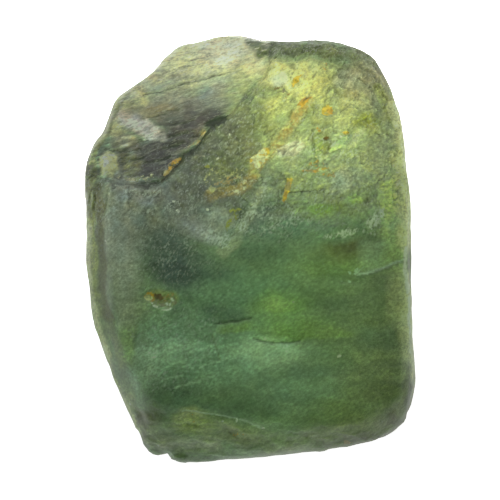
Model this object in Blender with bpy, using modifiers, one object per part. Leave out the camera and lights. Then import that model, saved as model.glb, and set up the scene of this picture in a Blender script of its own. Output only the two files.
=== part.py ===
"""A rough green sapphire: a stub of a crystal, worn round by a river, with a fracture across one corner.

The stone lies on its flat back. +Z points up, out of its best face, and +Y runs along the crystal to its
broken upper end. The origin is on the resting face, under the middle of the stone. It is one piece.

The shape is worked out at one unit to the millimetre, because voxel and merge distances suit larger things,
and the finished mesh is scaled to metres at the end.
"""

import math

import bmesh
import bpy
import numpy as np
from mathutils import Matrix, Vector, noise

# Driving dimensions, in millimetres
LENGTH = 10.3
WIDTH = 7.95
THICKNESS = 5.8
MM = 0.001  # metres

# The stone's outline from above, anticlockwise from the right of the lower end
OUTLINE = [
    (4.03, -3.45), (4.00, -1.60), (3.95, 0.30), (3.85, 2.05), (3.71, 3.35), (3.44, 4.18),
    (2.98, 4.74), (2.30, 5.00), (1.30, 5.04), (0.45, 5.03), (-0.10, 5.13), (-0.62, 5.24),
    (-1.15, 5.12), (-1.70, 4.97), (-2.12, 4.62), (-2.59, 4.21), (-3.08, 3.81), (-3.44, 3.46),
    (-3.50, 3.03), (-3.91, 2.65), (-4.12, 2.06), (-4.13, 1.20), (-4.11, -0.60), (-3.95, -1.76),
    (-3.46, -3.00), (-2.87, -4.40), (-2.55, -5.00), (-2.10, -5.08), (-1.82, -5.24), (-1.20, -5.22),
    (0.30, -5.02), (2.20, -4.82), (3.16, -4.62), (3.70, -4.31), (3.93, -3.90),
]  # fmt: skip

# The crystal's faces and the planes that a river wore on it: which way each one leans as an angle from +X,
# how steeply it is tilted from level, and a point that it passes through. Past 90 degrees it faces down.
FACES = {
    "table": (-90, 3, (0.5, 0.0, 5.90)),
    "left_shoulder": (180, 15, (-1.3, -1.0, 5.84)),
    "right_shoulder": (0, 13, (1.9, -1.0, 5.86)),
    "right_edge": (2, 56, (3.80, 0.0, 5.30)),
    "back_slope": (90, 20, (0.5, 0.3, 5.90)),
    "back_right_slope": (48, 31, (2.1, 2.7, 5.0)),
    "left_side": (182, 56, (-3.50, 0.0, 5.20)),
    "lower_left_side": (205, 62, (-3.17, -2.80, 5.05)),
    "lower_bevel": (-101, 43, (-1.2, -4.00, 5.50)),
    "lower_edge": (-83, 54, (1.6, -4.60, 5.25)),
    "lower_right_bevel": (-50, 55, (3.35, -4.05, 5.25)),
    "back_rim": (91, 57, (1.6, 4.62, 4.35)),
    "back_right_rim": (52, 55, (3.02, 4.12, 4.15)),
    "left_underside": (182, 116, (-4.18, 0.5, 2.7)),
    "lower_left_underside": (205, 111, (-3.58, -3.00, 2.9)),
    "lower_underside": (-86, 107, (0.0, -5.10, 2.8)),
    "lower_right_underside": (-40, 114, (3.82, -4.25, 2.9)),
    "right_underside": (2, 110, (4.00, 0.0, 3.0)),
    "back_underside": (90, 118, (0.5, 5.08, 2.4)),
    "back_right_underside": (50, 116, (3.28, 4.38, 2.5)),
    "back_left_underside": (130, 121, (-2.56, 4.20, 2.5)),
    "back_left_corner_underside": (160, 118, (-3.86, 2.50, 2.6)),
    "left_base": (184, 150, (-2.55, 0.0, 0.0)),
    "right_base": (3, 152, (2.45, 0.0, 0.0)),
    "back_base": (84, 152, (0.0, 3.00, 0.0)),
    "front_base": (-88, 149, (0.0, -3.55, 0.0)),
    "back_left_base": (132, 146, (-1.65, 2.25, 0.0)),
    "front_left_base": (222, 148, (-1.85, -2.60, 0.0)),
    "front_right_base": (-42, 149, (2.05, -2.90, 0.0)),
    "back_right_base": (46, 151, (1.90, 2.40, 0.0)),
}  # fmt: skip
BASE_CUT = 0.10
BLOCK_HALF_HEIGHT = 0.6 * THICKNESS

# Wear
BODY_VOXEL = 0.09
WORN_STEPS = 26
FINE_VOXEL = 0.065
FRESH_STEPS = 3
LUMP_HEIGHT = 0.065
LUMP_SIZE = 1.9
POCK_HEIGHT = 0.016
POCK_SIZE = 0.34

# The open crack across the back slope, from the left side to the back rim
CRACK = [
    (-3.95, 1.86), (-3.62, 1.70), (-3.30, 1.62), (-2.95, 1.57), (-2.50, 1.54), (-2.15, 1.60),
    (-1.90, 1.84), (-1.62, 2.20), (-1.25, 2.45), (-1.06, 2.74), (-0.80, 3.05), (-0.47, 3.22),
    (-0.25, 3.48), (-0.08, 3.76), (0.18, 3.98), (0.35, 4.12), (0.44, 4.34), (0.50, 4.70), (0.56, 5.30),
]  # fmt: skip
CRACK_DEPTH = 0.10
CRACK_WIDTH = 0.10

# The corner broke away on the far side of the crack. Its floor falls away from the middle of the crack, and
# is dished: each row of the floor is so far from the crack, and so much above or below the plain slope.
SCAR_HEADING = Vector((math.cos(math.radians(130)), math.sin(math.radians(130))))
SCAR_MIDDLE = Vector((-1.60, 2.20, 5.00))
SCAR_SLOPE = Vector((0.20, -0.60))
SCAR_ROWS = ((0.0, 0.0), (0.18, -0.12), (0.6, -0.20), (1.2, -0.16), (1.9, 0.0), (5.0, 0.3))
SCAR_TOP = 8.0

# The scar's ledges run up to the right, nearly along X, and step down towards the back
LEDGE_TURN = math.radians(15)
LEDGE_SPACING = 0.36
LEDGE_HEIGHT = 0.10
TREAD_MIDDLE = 0.6
TREAD_CURVE = 0.7

# How a ledge strays from its line, as the reach and the size of each wave, and how its height changes
LEDGE_WAVES = ((0.22, 1.43, 2.0), (0.05, 0.48, 5.0))
LEDGE_CHANGE = (0.65, 0.7)
LEDGE_CHANGE_SIZE = (1.1, 0.62)
LEDGE_CHANGE_LAYER = 8.0

# Relief is carved only where the skin looks up, on the upper half, and it fades in beside the crack
UPWARD_FROM = 0.1
UPWARD_FADE = 0.3
CRACK_FADE = 0.12

# Healed veins in the back slope: a path from above, the depth and the half width
VEINS = {
    "long_vein": ([(1.35, 3.58), (1.02, 2.95), (0.48, 2.20), (0.25, 1.98), (-0.70, 1.20)], 0.035, 0.20),
    "short_vein": ([(0.88, 2.55), (0.96, 1.90), (0.90, 1.20)], 0.03, 0.13),
    "shelf": ([(-0.75, 0.30), (-0.55, 0.95), (-0.20, 1.60)], 0.03, 0.16),
    "right_hairline": ([(2.30, -0.62), (3.00, -0.52), (3.75, -0.22)], 0.03, 0.11),
}

# Pieces knocked out of the stone: centre, radii and the turn about Z in degrees
CHIPS = {
    "corner_notch": ((-2.06, -5.30, 3.4), (0.20, 0.25, 2.6), 20),
    "rust_pit": ((-2.17, -1.10, 5.70), (0.19, 0.12, 0.17), 12),
    "left_pit": ((-3.30, 2.30, 4.62), (0.20, 0.16, 0.16), 20),
    "crack_pit": ((-1.12, 2.72, 4.92), (0.30, 0.11, 0.22), 25),
    "back_pit": ((0.48, 3.82, 4.70), (0.20, 0.11, 0.14), 25),
    "crystal_pit": ((1.83, 3.28, 4.92), (0.12, 0.12, 0.12), 0),
    "edge_nick_a": ((0.92, -5.10, 3.6), (0.12, 0.12, 1.4), 0),
    "edge_nick_b": ((1.90, -5.00, 3.8), (0.13, 0.13, 1.2), 0),
    "edge_nick_c": ((2.36, -4.92, 3.5), (0.14, 0.13, 1.2), 0),
    "edge_nick_d": ((3.97, -4.15, 3.6), (0.14, 0.16, 1.5), 0),
    "lower_left_pock": ((-2.76, -4.02, 4.72), (0.18, 0.22, 0.16), 20),
}
SPALL_SIZE = (0.50, 1.62, 0.30)
SPALL_PLACE = (4.06, -0.18, 4.93)
SPALL_TURN = math.radians(62)

TRIANGLES = 9600
CREASE = math.radians(35)
COLOUR = (0.115, 0.205, 0.085, 1.0)


def clear_scene():
    for obj in list(bpy.data.objects):
        bpy.data.objects.remove(obj, do_unlink=True)


def new_collection(name):
    collection = bpy.data.collections.new(name)
    bpy.context.scene.collection.children.link(collection)
    return collection


def bake_modifiers(obj):
    """Makes what the object's modifiers show its own mesh."""
    graph = bpy.context.evaluated_depsgraph_get()
    mesh = bpy.data.meshes.new_from_object(obj.evaluated_get(graph))
    obj.modifiers.clear()
    obj.data = mesh


def edit(obj, change):
    """Opens the object's mesh as a bmesh for one change, and stores it again."""
    bm = bmesh.new()
    bm.from_mesh(obj.data)
    change(bm)
    bm.to_mesh(obj.data)
    bm.free()
    obj.data.update()


def outline_block(collection):
    """The outline, drawn as a flat curve and extruded to more than the stone's thickness."""
    curve = bpy.data.curves.new("outline", "CURVE")
    curve.dimensions = "2D"
    curve.fill_mode = "BOTH"
    curve.resolution_u = 6
    curve.extrude = BLOCK_HALF_HEIGHT
    spline = curve.splines.new("BEZIER")
    spline.bezier_points.add(len(OUTLINE) - 1)
    spline.use_cyclic_u = True
    for point, (x, y) in zip(spline.bezier_points, OUTLINE):
        point.co = (x, y, 0)
        point.handle_left_type = "AUTO"
        point.handle_right_type = "AUTO"
    guide = bpy.data.objects.new("outline", curve)
    collection.objects.link(guide)
    graph = bpy.context.evaluated_depsgraph_get()
    mesh = bpy.data.meshes.new_from_object(guide.evaluated_get(graph))
    bpy.data.objects.remove(guide, do_unlink=True)
    mesh.transform(Matrix.Translation((0, 0, THICKNESS / 2)))
    stone = bpy.data.objects.new("sapphire_crystal", mesh)
    collection.objects.link(stone)

    def close(bm):
        bmesh.ops.remove_doubles(bm, verts=bm.verts, dist=1e-4)
        bmesh.ops.recalc_face_normals(bm, faces=bm.faces)

    edit(stone, close)
    return stone


def cut_flat(bm, point, normal):
    """Takes off what lies beyond a plane, and closes the cut with one flat face."""
    geometry = bm.verts[:] + bm.edges[:] + bm.faces[:]
    bmesh.ops.bisect_plane(bm, geom=geometry, dist=1e-5, plane_co=point, plane_no=normal, clear_outer=True)
    rim = [edge for edge in bm.edges if edge.is_boundary]
    bmesh.ops.holes_fill(bm, edges=rim, sides=0)


def cut_faces(stone):
    def cut(bm):
        for lean, tilt, point in FACES.values():
            lean = math.radians(lean)
            tilt = math.radians(tilt)
            level = math.sin(tilt)
            cut_flat(bm, point, (math.cos(lean) * level, math.sin(lean) * level, math.cos(tilt)))
        cut_flat(bm, (0, 0, 0), (0, 0, -1))
        bmesh.ops.recalc_face_normals(bm, faces=bm.faces)

    edit(stone, cut)


def remesh(obj, voxel, smooth_steps):
    """Rebuilds the skin in even quads, and rubs its edges round as water does."""
    modifier = obj.modifiers.new("voxels", "REMESH")
    modifier.mode = "VOXEL"
    modifier.voxel_size = voxel
    modifier.adaptivity = 0.0
    wear = obj.modifiers.new("wear", "SMOOTH")
    wear.factor = 0.5
    wear.iterations = smooth_steps
    bake_modifiers(obj)


def add_cutter(collection, name, build):
    """A new cutter whose mesh the given function makes."""
    mesh = bpy.data.meshes.new(name)
    bm = bmesh.new()
    build(bm)
    bmesh.ops.recalc_face_normals(bm, faces=bm.faces)
    bm.to_mesh(mesh)
    bm.free()
    cutter = bpy.data.objects.new(name, mesh)
    cutter.hide_render = True
    cutter.display_type = "WIRE"
    collection.objects.link(cutter)
    return cutter


def chip_cutter(collection, name, centre, radii, turn):
    cutter = add_cutter(collection, name, lambda bm: bmesh.ops.create_icosphere(bm, subdivisions=2, radius=1.0))
    cutter.scale = radii
    cutter.rotation_euler.z = math.radians(turn)
    cutter.location = centre
    return cutter


def spall_cutter(collection):
    """The flat flake that has come off the right edge."""
    cutter = add_cutter(collection, "edge_spall", lambda bm: bmesh.ops.create_cube(bm, size=1.0))
    cutter.scale = SPALL_SIZE
    cutter.rotation_euler.y = SPALL_TURN
    cutter.location = SPALL_PLACE
    return cutter


def scar_cutter(collection):
    """The broken-off corner: rows swept outwards from the crack, closed far above the stone."""

    def build(bm):
        floor = []
        for reach, dip in SCAR_ROWS:
            row = []
            for point in CRACK:
                plan = Vector(point) + SCAR_HEADING * reach
                height = SCAR_MIDDLE.z + SCAR_SLOPE.dot(plan - SCAR_MIDDLE.xy) + dip
                row.append(bm.verts.new((plan.x, plan.y, height)))
            floor.append(row)
        quads = []
        for near, far in zip(floor, floor[1:]):
            for index in range(len(CRACK) - 1):
                quads.append(bm.faces.new((near[index], near[index + 1], far[index + 1], far[index])))
        raised = bmesh.ops.extrude_face_region(bm, geom=quads)["geom"]
        for vert in raised:
            if isinstance(vert, bmesh.types.BMVert):
                vert.co.z = SCAR_TOP

    return add_cutter(collection, "broken_corner", build)


def knock_off(stone, collection):
    """Breaks the corner away, and knocks the chips out."""
    cutters = [scar_cutter(collection)]
    cutters += [chip_cutter(collection, name, *chip) for name, chip in CHIPS.items()]
    cutters.append(spall_cutter(collection))
    bpy.context.view_layer.update()
    for cutter in cutters:
        chip = stone.modifiers.new(cutter.name, "BOOLEAN")
        chip.operation = "DIFFERENCE"
        chip.solver = "EXACT"
        chip.object = cutter
    bake_modifiers(stone)


def path_distance(points, path):
    """How far each point of the plan is from a path, and on which side of it: +1 is its left."""
    nearest = np.full(len(points), np.inf)
    side = np.ones(len(points))
    for start, end in zip(path, path[1:]):
        start = np.array(start)
        along = np.array(end) - start
        offset = points - start
        share = np.clip(offset @ along / (along @ along), 0.0, 1.0)
        distance = np.linalg.norm(offset - share[:, None] * along, axis=1)
        closer = distance < nearest
        nearest = np.where(closer, distance, nearest)
        turn = along[0] * offset[:, 1] - along[1] * offset[:, 0]
        side = np.where(closer, np.sign(turn), side)
    return nearest, side


def furrow(distance, half_width):
    """A rounded furrow, 1 in its middle and 0 beyond its half width."""
    return np.maximum(0.0, 1.0 - (distance / half_width) ** 2)


def ledge_height(x, y):
    """The stepped floor of the scar: long treads with short, steep risers."""
    across = y * math.cos(LEDGE_TURN) - x * math.sin(LEDGE_TURN)
    for reach, size, layer in LEDGE_WAVES:
        across += reach * noise.noise(Vector((x / size, y / size, layer)))
    step = across / LEDGE_SPACING
    tread = step - math.floor(step)
    least, change = LEDGE_CHANGE
    size_x, size_y = LEDGE_CHANGE_SIZE
    strength = least + change * noise.noise(Vector((x / size_x, y / size_y, LEDGE_CHANGE_LAYER)))
    return LEDGE_HEIGHT * strength * (tread**TREAD_CURVE - TREAD_MIDDLE)


def carve_relief(stone):
    """Moves each point of the skin along its normal: lumps and pocks, ledges in the scar, crack and veins."""
    mesh = stone.data
    count = len(mesh.vertices)
    places = np.empty(count * 3, np.float32)
    mesh.vertices.foreach_get("co", places)
    places = places.reshape(-1, 3).astype(float)
    normals = np.array([vert.normal for vert in mesh.vertices])
    upward = np.clip((normals[:, 2] - UPWARD_FROM) / UPWARD_FADE, 0.0, 1.0) * (places[:, 2] > THICKNESS / 2)
    shift = np.array([
        LUMP_HEIGHT * noise.fractal(Vector(place) / LUMP_SIZE, 1.0, 2.0, 3)
        + POCK_HEIGHT * noise.noise(Vector(place) / POCK_SIZE)
        for place in places
    ])
    distance, side = path_distance(places[:, :2], CRACK)
    in_scar = (side > 0) * np.clip(distance / CRACK_FADE, 0.0, 1.0) * upward
    ledges = np.array([ledge_height(place[0], place[1]) for place in places])
    shift += ledges * in_scar
    shift -= CRACK_DEPTH * furrow(distance, CRACK_WIDTH) * upward
    for path, depth, half_width in VEINS.values():
        shift -= depth * furrow(path_distance(places[:, :2], path)[0], half_width) * upward
    places += normals * shift[:, None]
    mesh.vertices.foreach_set("co", places.astype(np.float32).ravel())
    mesh.update()


def thin_out(stone):
    """Fewer, larger triangles where the stone is plain, and small ones kept at its ledges."""
    triangles = sum(len(face.vertices) - 2 for face in stone.data.polygons)
    modifier = stone.modifiers.new("thin", "DECIMATE")
    modifier.decimate_type = "COLLAPSE"
    modifier.ratio = TRIANGLES / triangles
    bake_modifiers(stone)


def seat(stone):
    """Grinds the back flat, and sets the finished stone to its real size with the origin under its middle."""

    def flatten(bm):
        cut_flat(bm, (0, 0, BASE_CUT), (0, 0, -1))
        bmesh.ops.triangulate(bm, faces=[face for face in bm.faces if len(face.verts) > 3])

    edit(stone, flatten)
    corners = np.array([vert.co for vert in stone.data.vertices])
    low = Vector(corners.min(axis=0))
    high = Vector(corners.max(axis=0))
    middle = Vector(((low.x + high.x) / 2, (low.y + high.y) / 2, low.z))
    spread = high - low
    fit = Matrix.Diagonal((WIDTH / spread.x, LENGTH / spread.y, THICKNESS / spread.z, 1.0))
    stone.data.transform(Matrix.Scale(MM, 4) @ fit @ Matrix.Translation(-middle))


def sapphire_material():
    material = bpy.data.materials.new("frosted_green_sapphire")
    material.use_nodes = True
    shader = material.node_tree.nodes["Principled BSDF"]
    shader.inputs["Base Color"].default_value = COLOUR
    shader.inputs["Roughness"].default_value = 0.45
    shader.inputs["Metallic"].default_value = 0.0
    shader.inputs["IOR"].default_value = 1.77
    return material


def main():
    clear_scene()
    parts = new_collection("rough_sapphire")
    cutters = new_collection("cutters")
    stone = outline_block(parts)
    cut_faces(stone)
    remesh(stone, BODY_VOXEL, WORN_STEPS)
    knock_off(stone, cutters)
    remesh(stone, FINE_VOXEL, FRESH_STEPS)
    carve_relief(stone)
    thin_out(stone)
    seat(stone)
    stone.data.materials.clear()
    stone.data.materials.append(sapphire_material())
    stone.data.shade_smooth()
    stone.data.set_sharp_from_angle(angle=CREASE)


main()
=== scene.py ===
# %% [markdown]
# # A rough green sapphire
# The stone is a stub of a corundum crystal, a centimetre long, that a river has rolled until its faces went
# matt and its edges round. One upper corner has broken away and left a stepped scar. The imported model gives
# its form, and this script gives the form its skin: the fine steps of the scar, the knocks and pits of the
# river, the iron that has crept into its cracks, and a green crystal that light passes through. All places
# are in millimetres on the plan of the stone, seen from above, with the middle of its outline at (0, 0).

import math

import bmesh
import bpy
import numpy as np
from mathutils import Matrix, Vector, noise


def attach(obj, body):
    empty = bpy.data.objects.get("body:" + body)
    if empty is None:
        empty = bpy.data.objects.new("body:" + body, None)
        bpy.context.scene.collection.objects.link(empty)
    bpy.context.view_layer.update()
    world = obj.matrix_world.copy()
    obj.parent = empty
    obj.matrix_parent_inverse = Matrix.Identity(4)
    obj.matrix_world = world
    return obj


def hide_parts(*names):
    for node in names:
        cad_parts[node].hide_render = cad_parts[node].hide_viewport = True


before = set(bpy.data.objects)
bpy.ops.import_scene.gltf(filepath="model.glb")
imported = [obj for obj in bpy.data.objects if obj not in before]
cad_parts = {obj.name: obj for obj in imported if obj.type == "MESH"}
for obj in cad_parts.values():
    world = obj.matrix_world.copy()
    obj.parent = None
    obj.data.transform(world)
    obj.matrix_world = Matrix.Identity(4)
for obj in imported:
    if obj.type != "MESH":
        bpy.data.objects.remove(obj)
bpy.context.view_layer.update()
MM = 0.001

# %% [markdown]
# ## A copy to carve
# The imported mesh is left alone. Its copy is welded, because it arrives as loose triangles, and worked on at
# one unit to the millimetre, because the voxel size has a lower limit that suits larger things. A voxel
# remesh lays even quads all over it. The faces that look up carry nearly all the detail, so only they are
# cut finer, twice over, which gives a point for every 0.04 mm there and keeps the whole piece light.

# %% A fine, even skin
SKIN_VOXEL = 0.15
FACET_SMOOTHING = 3
FINE_SMOOTHING = 8
WELD = 1e-7
# What is cut finer: the least a face looks up, and the least height of its middle.
CUTS = [(0.1, 2.6), (0.22, 3.2)]


def smooth_skin(obj, rounds):
    smooth = obj.modifiers.new("smooth", "SMOOTH")
    smooth.factor = 0.5
    smooth.iterations = rounds


def take_shape(obj):
    """Makes the modifiers' result the object's own mesh."""
    graph = bpy.context.evaluated_depsgraph_get()
    mesh = bpy.data.meshes.new_from_object(obj.evaluated_get(graph))
    obj.modifiers.clear()
    obj.data = mesh


def even_copy(node, name):
    bm = bmesh.new()
    bm.from_mesh(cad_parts[node].data)
    bmesh.ops.remove_doubles(bm, verts=bm.verts, dist=WELD)
    bmesh.ops.scale(bm, vec=(1 / MM, 1 / MM, 1 / MM), verts=bm.verts)
    mesh = bpy.data.meshes.new(name)
    bm.to_mesh(mesh)
    bm.free()
    copy = bpy.data.objects.new(name, mesh)
    bpy.context.scene.collection.objects.link(copy)
    voxels = copy.modifiers.new("voxels", "REMESH")
    voxels.mode = "VOXEL"
    voxels.voxel_size = SKIN_VOXEL
    smooth_skin(copy, FACET_SMOOTHING)
    take_shape(copy)
    return copy


def refine(obj, least_up, least_height):
    """Cuts each quad that looks up, and lies high enough, into four."""
    bm = bmesh.new()
    bm.from_mesh(obj.data)
    bm.normal_update()
    edges = set()
    for face in bm.faces:
        if face.normal.z > least_up and face.calc_center_median().z > least_height:
            edges.update(face.edges)
    bmesh.ops.subdivide_edges(bm, edges=list(edges), cuts=1, use_grid_fill=True)
    bm.to_mesh(obj.data)
    bm.free()


stone = even_copy("sapphire_crystal", "sapphire_skin")
for least_up, least_height in CUTS:
    refine(stone, least_up, least_height)
smooth_skin(stone, FINE_SMOOTHING)
take_shape(stone)
print("skin points:", len(stone.data.vertices), "faces:", len(stone.data.polygons))

# %% [markdown]
# ## Tools for carving
# Carving is done with arrays: each point of the skin has a place and a normal, and a shift along the normal
# is added up from many small forms. A path's furrow, a soft patch and a stretched noise are enough for all
# of them, so each is a short function.

# %% Places, normals and the tools
SEED_STRIDE = 17.3
SHOULDER = (2.4, 3.2)
count = len(stone.data.vertices)
places = np.empty(count * 3)
stone.data.vertices.foreach_get("co", places)
places = places.reshape(-1, 3)
normals = np.empty(count * 3)
stone.data.vertices.foreach_get("normal", normals)
normals = normals.reshape(-1, 3)
plan = places[:, :2]


def path_distance(points, path):
    """How far each point of the plan is from a path, how far along, and on which side: +1 is its left."""
    nearest = np.full(len(points), np.inf)
    side = np.ones(len(points))
    travelled = np.zeros(len(points))
    start_length = 0.0
    for start, end in zip(path, path[1:]):
        start = np.array(start)
        along = np.array(end) - start
        length = np.linalg.norm(along)
        offset = points - start
        share = np.clip(offset @ along / length**2, 0.0, 1.0)
        distance = np.linalg.norm(offset - share[:, None] * along, axis=1)
        closer = distance < nearest
        nearest = np.where(closer, distance, nearest)
        side = np.where(closer, np.sign(along[0] * offset[:, 1] - along[1] * offset[:, 0]), side)
        travelled = np.where(closer, start_length + share * length, travelled)
        start_length += length
    return nearest, side, travelled / start_length


def smoothstep(low, high, value):
    share = np.clip((value - low) / (high - low), 0.0, 1.0)
    return share * share * (3.0 - 2.0 * share)


def turned(points, degrees):
    """Coordinates along and across a direction of the plan."""
    turn = math.radians(degrees)
    along = points[:, 0] * math.cos(turn) + points[:, 1] * math.sin(turn)
    across = points[:, 1] * math.cos(turn) - points[:, 0] * math.sin(turn)
    return along, across


def cloud(coordinates, size, seed, octaves=1):
    """Noise from about -1 to 1, its grains as large as size says along each axis, in millimetres."""
    scaled = coordinates / np.array(size) + seed * SEED_STRIDE
    if octaves == 1:
        return np.array([noise.noise(Vector(place)) for place in scaled])
    return np.array([noise.fractal(Vector(place), 1.0, 2.0, octaves) for place in scaled])


# The carved side of the stone: what looks up, above its shoulder.
upward = smoothstep(0.05, 0.35, normals[:, 2]) * smoothstep(*SHOULDER, places[:, 2])
print("points on the upper faces:", int((upward > 0.5).sum()))

# %% [markdown]
# ## Ragged edges
# Nothing on a stone has a ruled edge. The plan is bent by a noise of half a millimetre and a smaller one of
# a tenth before any form is measured on it, so that an ellipse becomes a ragged patch and a path a shaky
# line. A line is bent less, since a hairline crack runs nearly straight.

# %% Ragged patches and lines
WANDER = 0.1
QUIVER = 0.025
LINE_WANDER = 0.35 * WANDER
wander = np.column_stack([cloud(places, (0.55, 0.55, 0.55), seed, 2) for seed in (11, 12)])
quiver = np.column_stack([cloud(places, (0.11, 0.11, 0.11), seed) for seed in (13, 14)])
ragged = plan + WANDER * wander + QUIVER * quiver
shaky = plan + LINE_WANDER * wander + QUIVER * quiver


def patch(middle, radii, turn=0, edge=0.4):
    """A ragged ellipse of the plan: 1 inside, half at its radii and 0 outside, over a soft edge."""
    along, across = turned(ragged - np.array(middle), turn)
    reach = np.hypot(along / radii[0], across / radii[1])
    return 1.0 - smoothstep(1.0 - edge, 1.0 + edge, reach)


def line(path, half_width):
    """A shaky line of the plan: 1 in its middle, and 0 beyond its half width."""
    distance = path_distance(shaky, path)[0]
    return np.clip(1.0 - (distance / half_width) ** 2, 0.0, 1.0)


def band(path, half_width):
    """A ragged band of the plan, with soft edges."""
    distance = path_distance(ragged, path)[0]
    return 1.0 - smoothstep(0.5, 1.3, distance / half_width)


def step_down(path, fade):
    """A drop along the right-hand side of a path, which is 1 at the path and fades away from it."""
    distance, side, share = path_distance(shaky, path)
    ends = smoothstep(0.0, 0.15, share) * (1.0 - smoothstep(0.85, 1.0, share))
    return (side < 0) * np.clip(1.0 - distance / fade, 0.0, 1.0) * ends


CRUMB = (0.13, 0.1, 0.12)
crumb_places = places + 0.05 * cloud(places, (0.2, 0.2, 0.2), 16)[:, None]
crumbs = np.clip(cloud(crumb_places, CRUMB, 15, 3), 0.0, 1.0)
shift = np.zeros(count)
print("share of the skin where crumbs would stand:", round(float((crumbs > 0.1).mean()), 2))

# %% [markdown]
# ## The broken corner
# Corundum has no cleavage, but it can part in thin layers, so the scar is a flight of tiny steps that run
# up to the right. A noise stretched five or six to one along that direction gives broken streaks instead of
# ruled lines, and its sharp-crested form gives them an edge to catch the light.

# %% The steps of the scar
CRACK = [
    (-3.95, 1.86), (-3.62, 1.7), (-3.3, 1.62), (-2.95, 1.57), (-2.5, 1.54), (-2.15, 1.6),
    (-1.9, 1.84), (-1.62, 2.2), (-1.25, 2.45), (-1.06, 2.74), (-0.8, 3.05), (-0.47, 3.22),
    (-0.25, 3.48), (-0.08, 3.76), (0.18, 3.98), (0.35, 4.12), (0.44, 4.34), (0.5, 4.7), (0.56, 5.3),
]  # fmt: skip
STEP_DIRECTION = 14
COARSE_STEP = 0.024
FINE_STEP = 0.022
SPLINTERS = 0.034
# Above a rising line through this point the scar is clean, and well below it it is splintered.
SCAR_MIDDLE = (-3.0, 3.45)
SCAR_MIDDLE_RISE = 0.17

crack_distance, crack_side, crack_share = path_distance(plan, CRACK)
beyond_crack = (crack_side > 0) * smoothstep(0.0, 0.08, crack_distance)
scar = beyond_crack * upward
along, across = turned(plan, STEP_DIRECTION)
fibre = np.column_stack((along, across + 0.1 * cloud(places, (1.3, 0.9, 1.0), 1), places[:, 2]))
coarse_steps = 1.0 - np.abs(cloud(fibre, (0.8, 0.17, 1.4), 2, 3))
fine_steps = 1.0 - np.abs(cloud(fibre, (0.45, 0.07, 1.0), 3, 2))
shift += scar * (COARSE_STEP * (coarse_steps - 0.75) + FINE_STEP * (fine_steps - 0.7))
rough_steps = cloud(fibre, (0.28, 0.13, 0.4), 9, 4)
over_middle = plan[:, 1] - SCAR_MIDDLE[1] - SCAR_MIDDLE_RISE * (plan[:, 0] - SCAR_MIDDLE[0])
lower_scar = scar * (1.0 - smoothstep(-1.1, -0.2, over_middle))
shift += SPLINTERS * lower_scar * rough_steps
print("points in the scar:", int((scar > 0.5).sum()))

# %% The long splits in the scar, each with its half width, and the bead at its left tip
SPLIT_DEPTH = 0.07
BEAD_HEIGHT = 0.1
SPLITS = [
    ([(-2.58, 3.72), (-2.03, 3.84), (-1.31, 4.08), (-0.59, 4.25)], 0.028),
    ([(-1.98, 2.71), (-1.77, 2.78), (-1.5, 2.84)], 0.05),
    ([(-2.1, 2.44), (-1.88, 2.5), (-1.62, 2.58)], 0.05),
    ([(-3.35, 2.38), (-3.0, 2.36), (-2.63, 2.42)], 0.024),
    ([(-2.51, 2.09), (-2.2, 2.13), (-1.88, 2.24)], 0.028),
    ([(-2.7, 2.58), (-2.4, 2.64), (-2.15, 2.62)], 0.024),
    ([(-3.1, 2.2), (-2.8, 2.16), (-2.55, 2.22)], 0.024),
    ([(-1.9, 3.0), (-1.6, 3.04), (-1.35, 3.12)], 0.024),
    ([(-1.45, 2.66), (-1.15, 2.78)], 0.024),
    ([(-2.3, 3.28), (-1.75, 3.36)], 0.022),
    ([(-2.62, 3.14), (-2.05, 3.24)], 0.022),
    ([(-2.2, 4.2), (-1.6, 4.42), (-1.1, 4.5)], 0.022),
    ([(-1.5, 4.55), (-0.9, 4.7)], 0.02),
]
splits = np.max([line(path, half_width) for path, half_width in SPLITS], axis=0) * scar
shift -= SPLIT_DEPTH * splits
bead = patch((-3.37, 2.0), (0.13, 0.25), 8, 0.5) * upward
shift += BEAD_HEIGHT * bead
print("splits:", len(SPLITS))

# %% [markdown]
# ## The crack
# The scar ends at a crack, a hairline that gapes in its middle stretch and opens into a deep hollow. It goes
# straight down and not along the normal, because a crack doesn't follow the surface, and its width comes
# and goes with a noise. Rubble lies near its left end, and a low lip stands in front of it.

# %% The crack, its hollow, the rubble and the lip
HAIRLINE = 0.035
HAIRLINE_DEPTH = 0.04
GAPE = 0.045
GAPE_DEPTH = 0.08
HOLLOW_DEPTH = 0.12
RUBBLE_BED = 0.03
RUBBLE_HEIGHT = 0.09
LIP_HEIGHT = 0.025
open_crack = smoothstep(0.12, 0.26, crack_share) * (1.0 - smoothstep(0.5, 0.62, crack_share))
shaky_crack = path_distance(shaky, CRACK)[0]
crack_width = (HAIRLINE + GAPE * open_crack) * (1.0 + 0.7 * cloud(places, (0.16, 0.16, 0.16), 17))
crack_line = np.clip(1.0 - (shaky_crack / crack_width) ** 2, 0.0, 1.0) * upward
hollow = patch((-0.78, 3.08), (0.31, 0.1), 24, 0.35) * upward
sink = (HAIRLINE_DEPTH + GAPE_DEPTH * open_crack) * crack_line + HOLLOW_DEPTH * hollow
rubble = patch((-2.7, 1.73), (0.42, 0.1), 0) * upward
shift += rubble * (RUBBLE_HEIGHT * crumbs - RUBBLE_BED)
lip = band([(-2.95, 1.44), (-2.5, 1.41), (-2.1, 1.47), (-1.86, 1.68)], 0.06) * upward
shift += LIP_HEIGHT * lip
print("deepest place of the crack:", round(float(sink.max()), 3))

# %% [markdown]
# ## Veins, pits and small steps
# Cracks in the back slope have healed with a crust of iron, which stands up in crumbs from a shallow furrow.
# The rest is a list of places: pits where crystals fell out, a shelf, hairlines, and grooves of the river.

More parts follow.
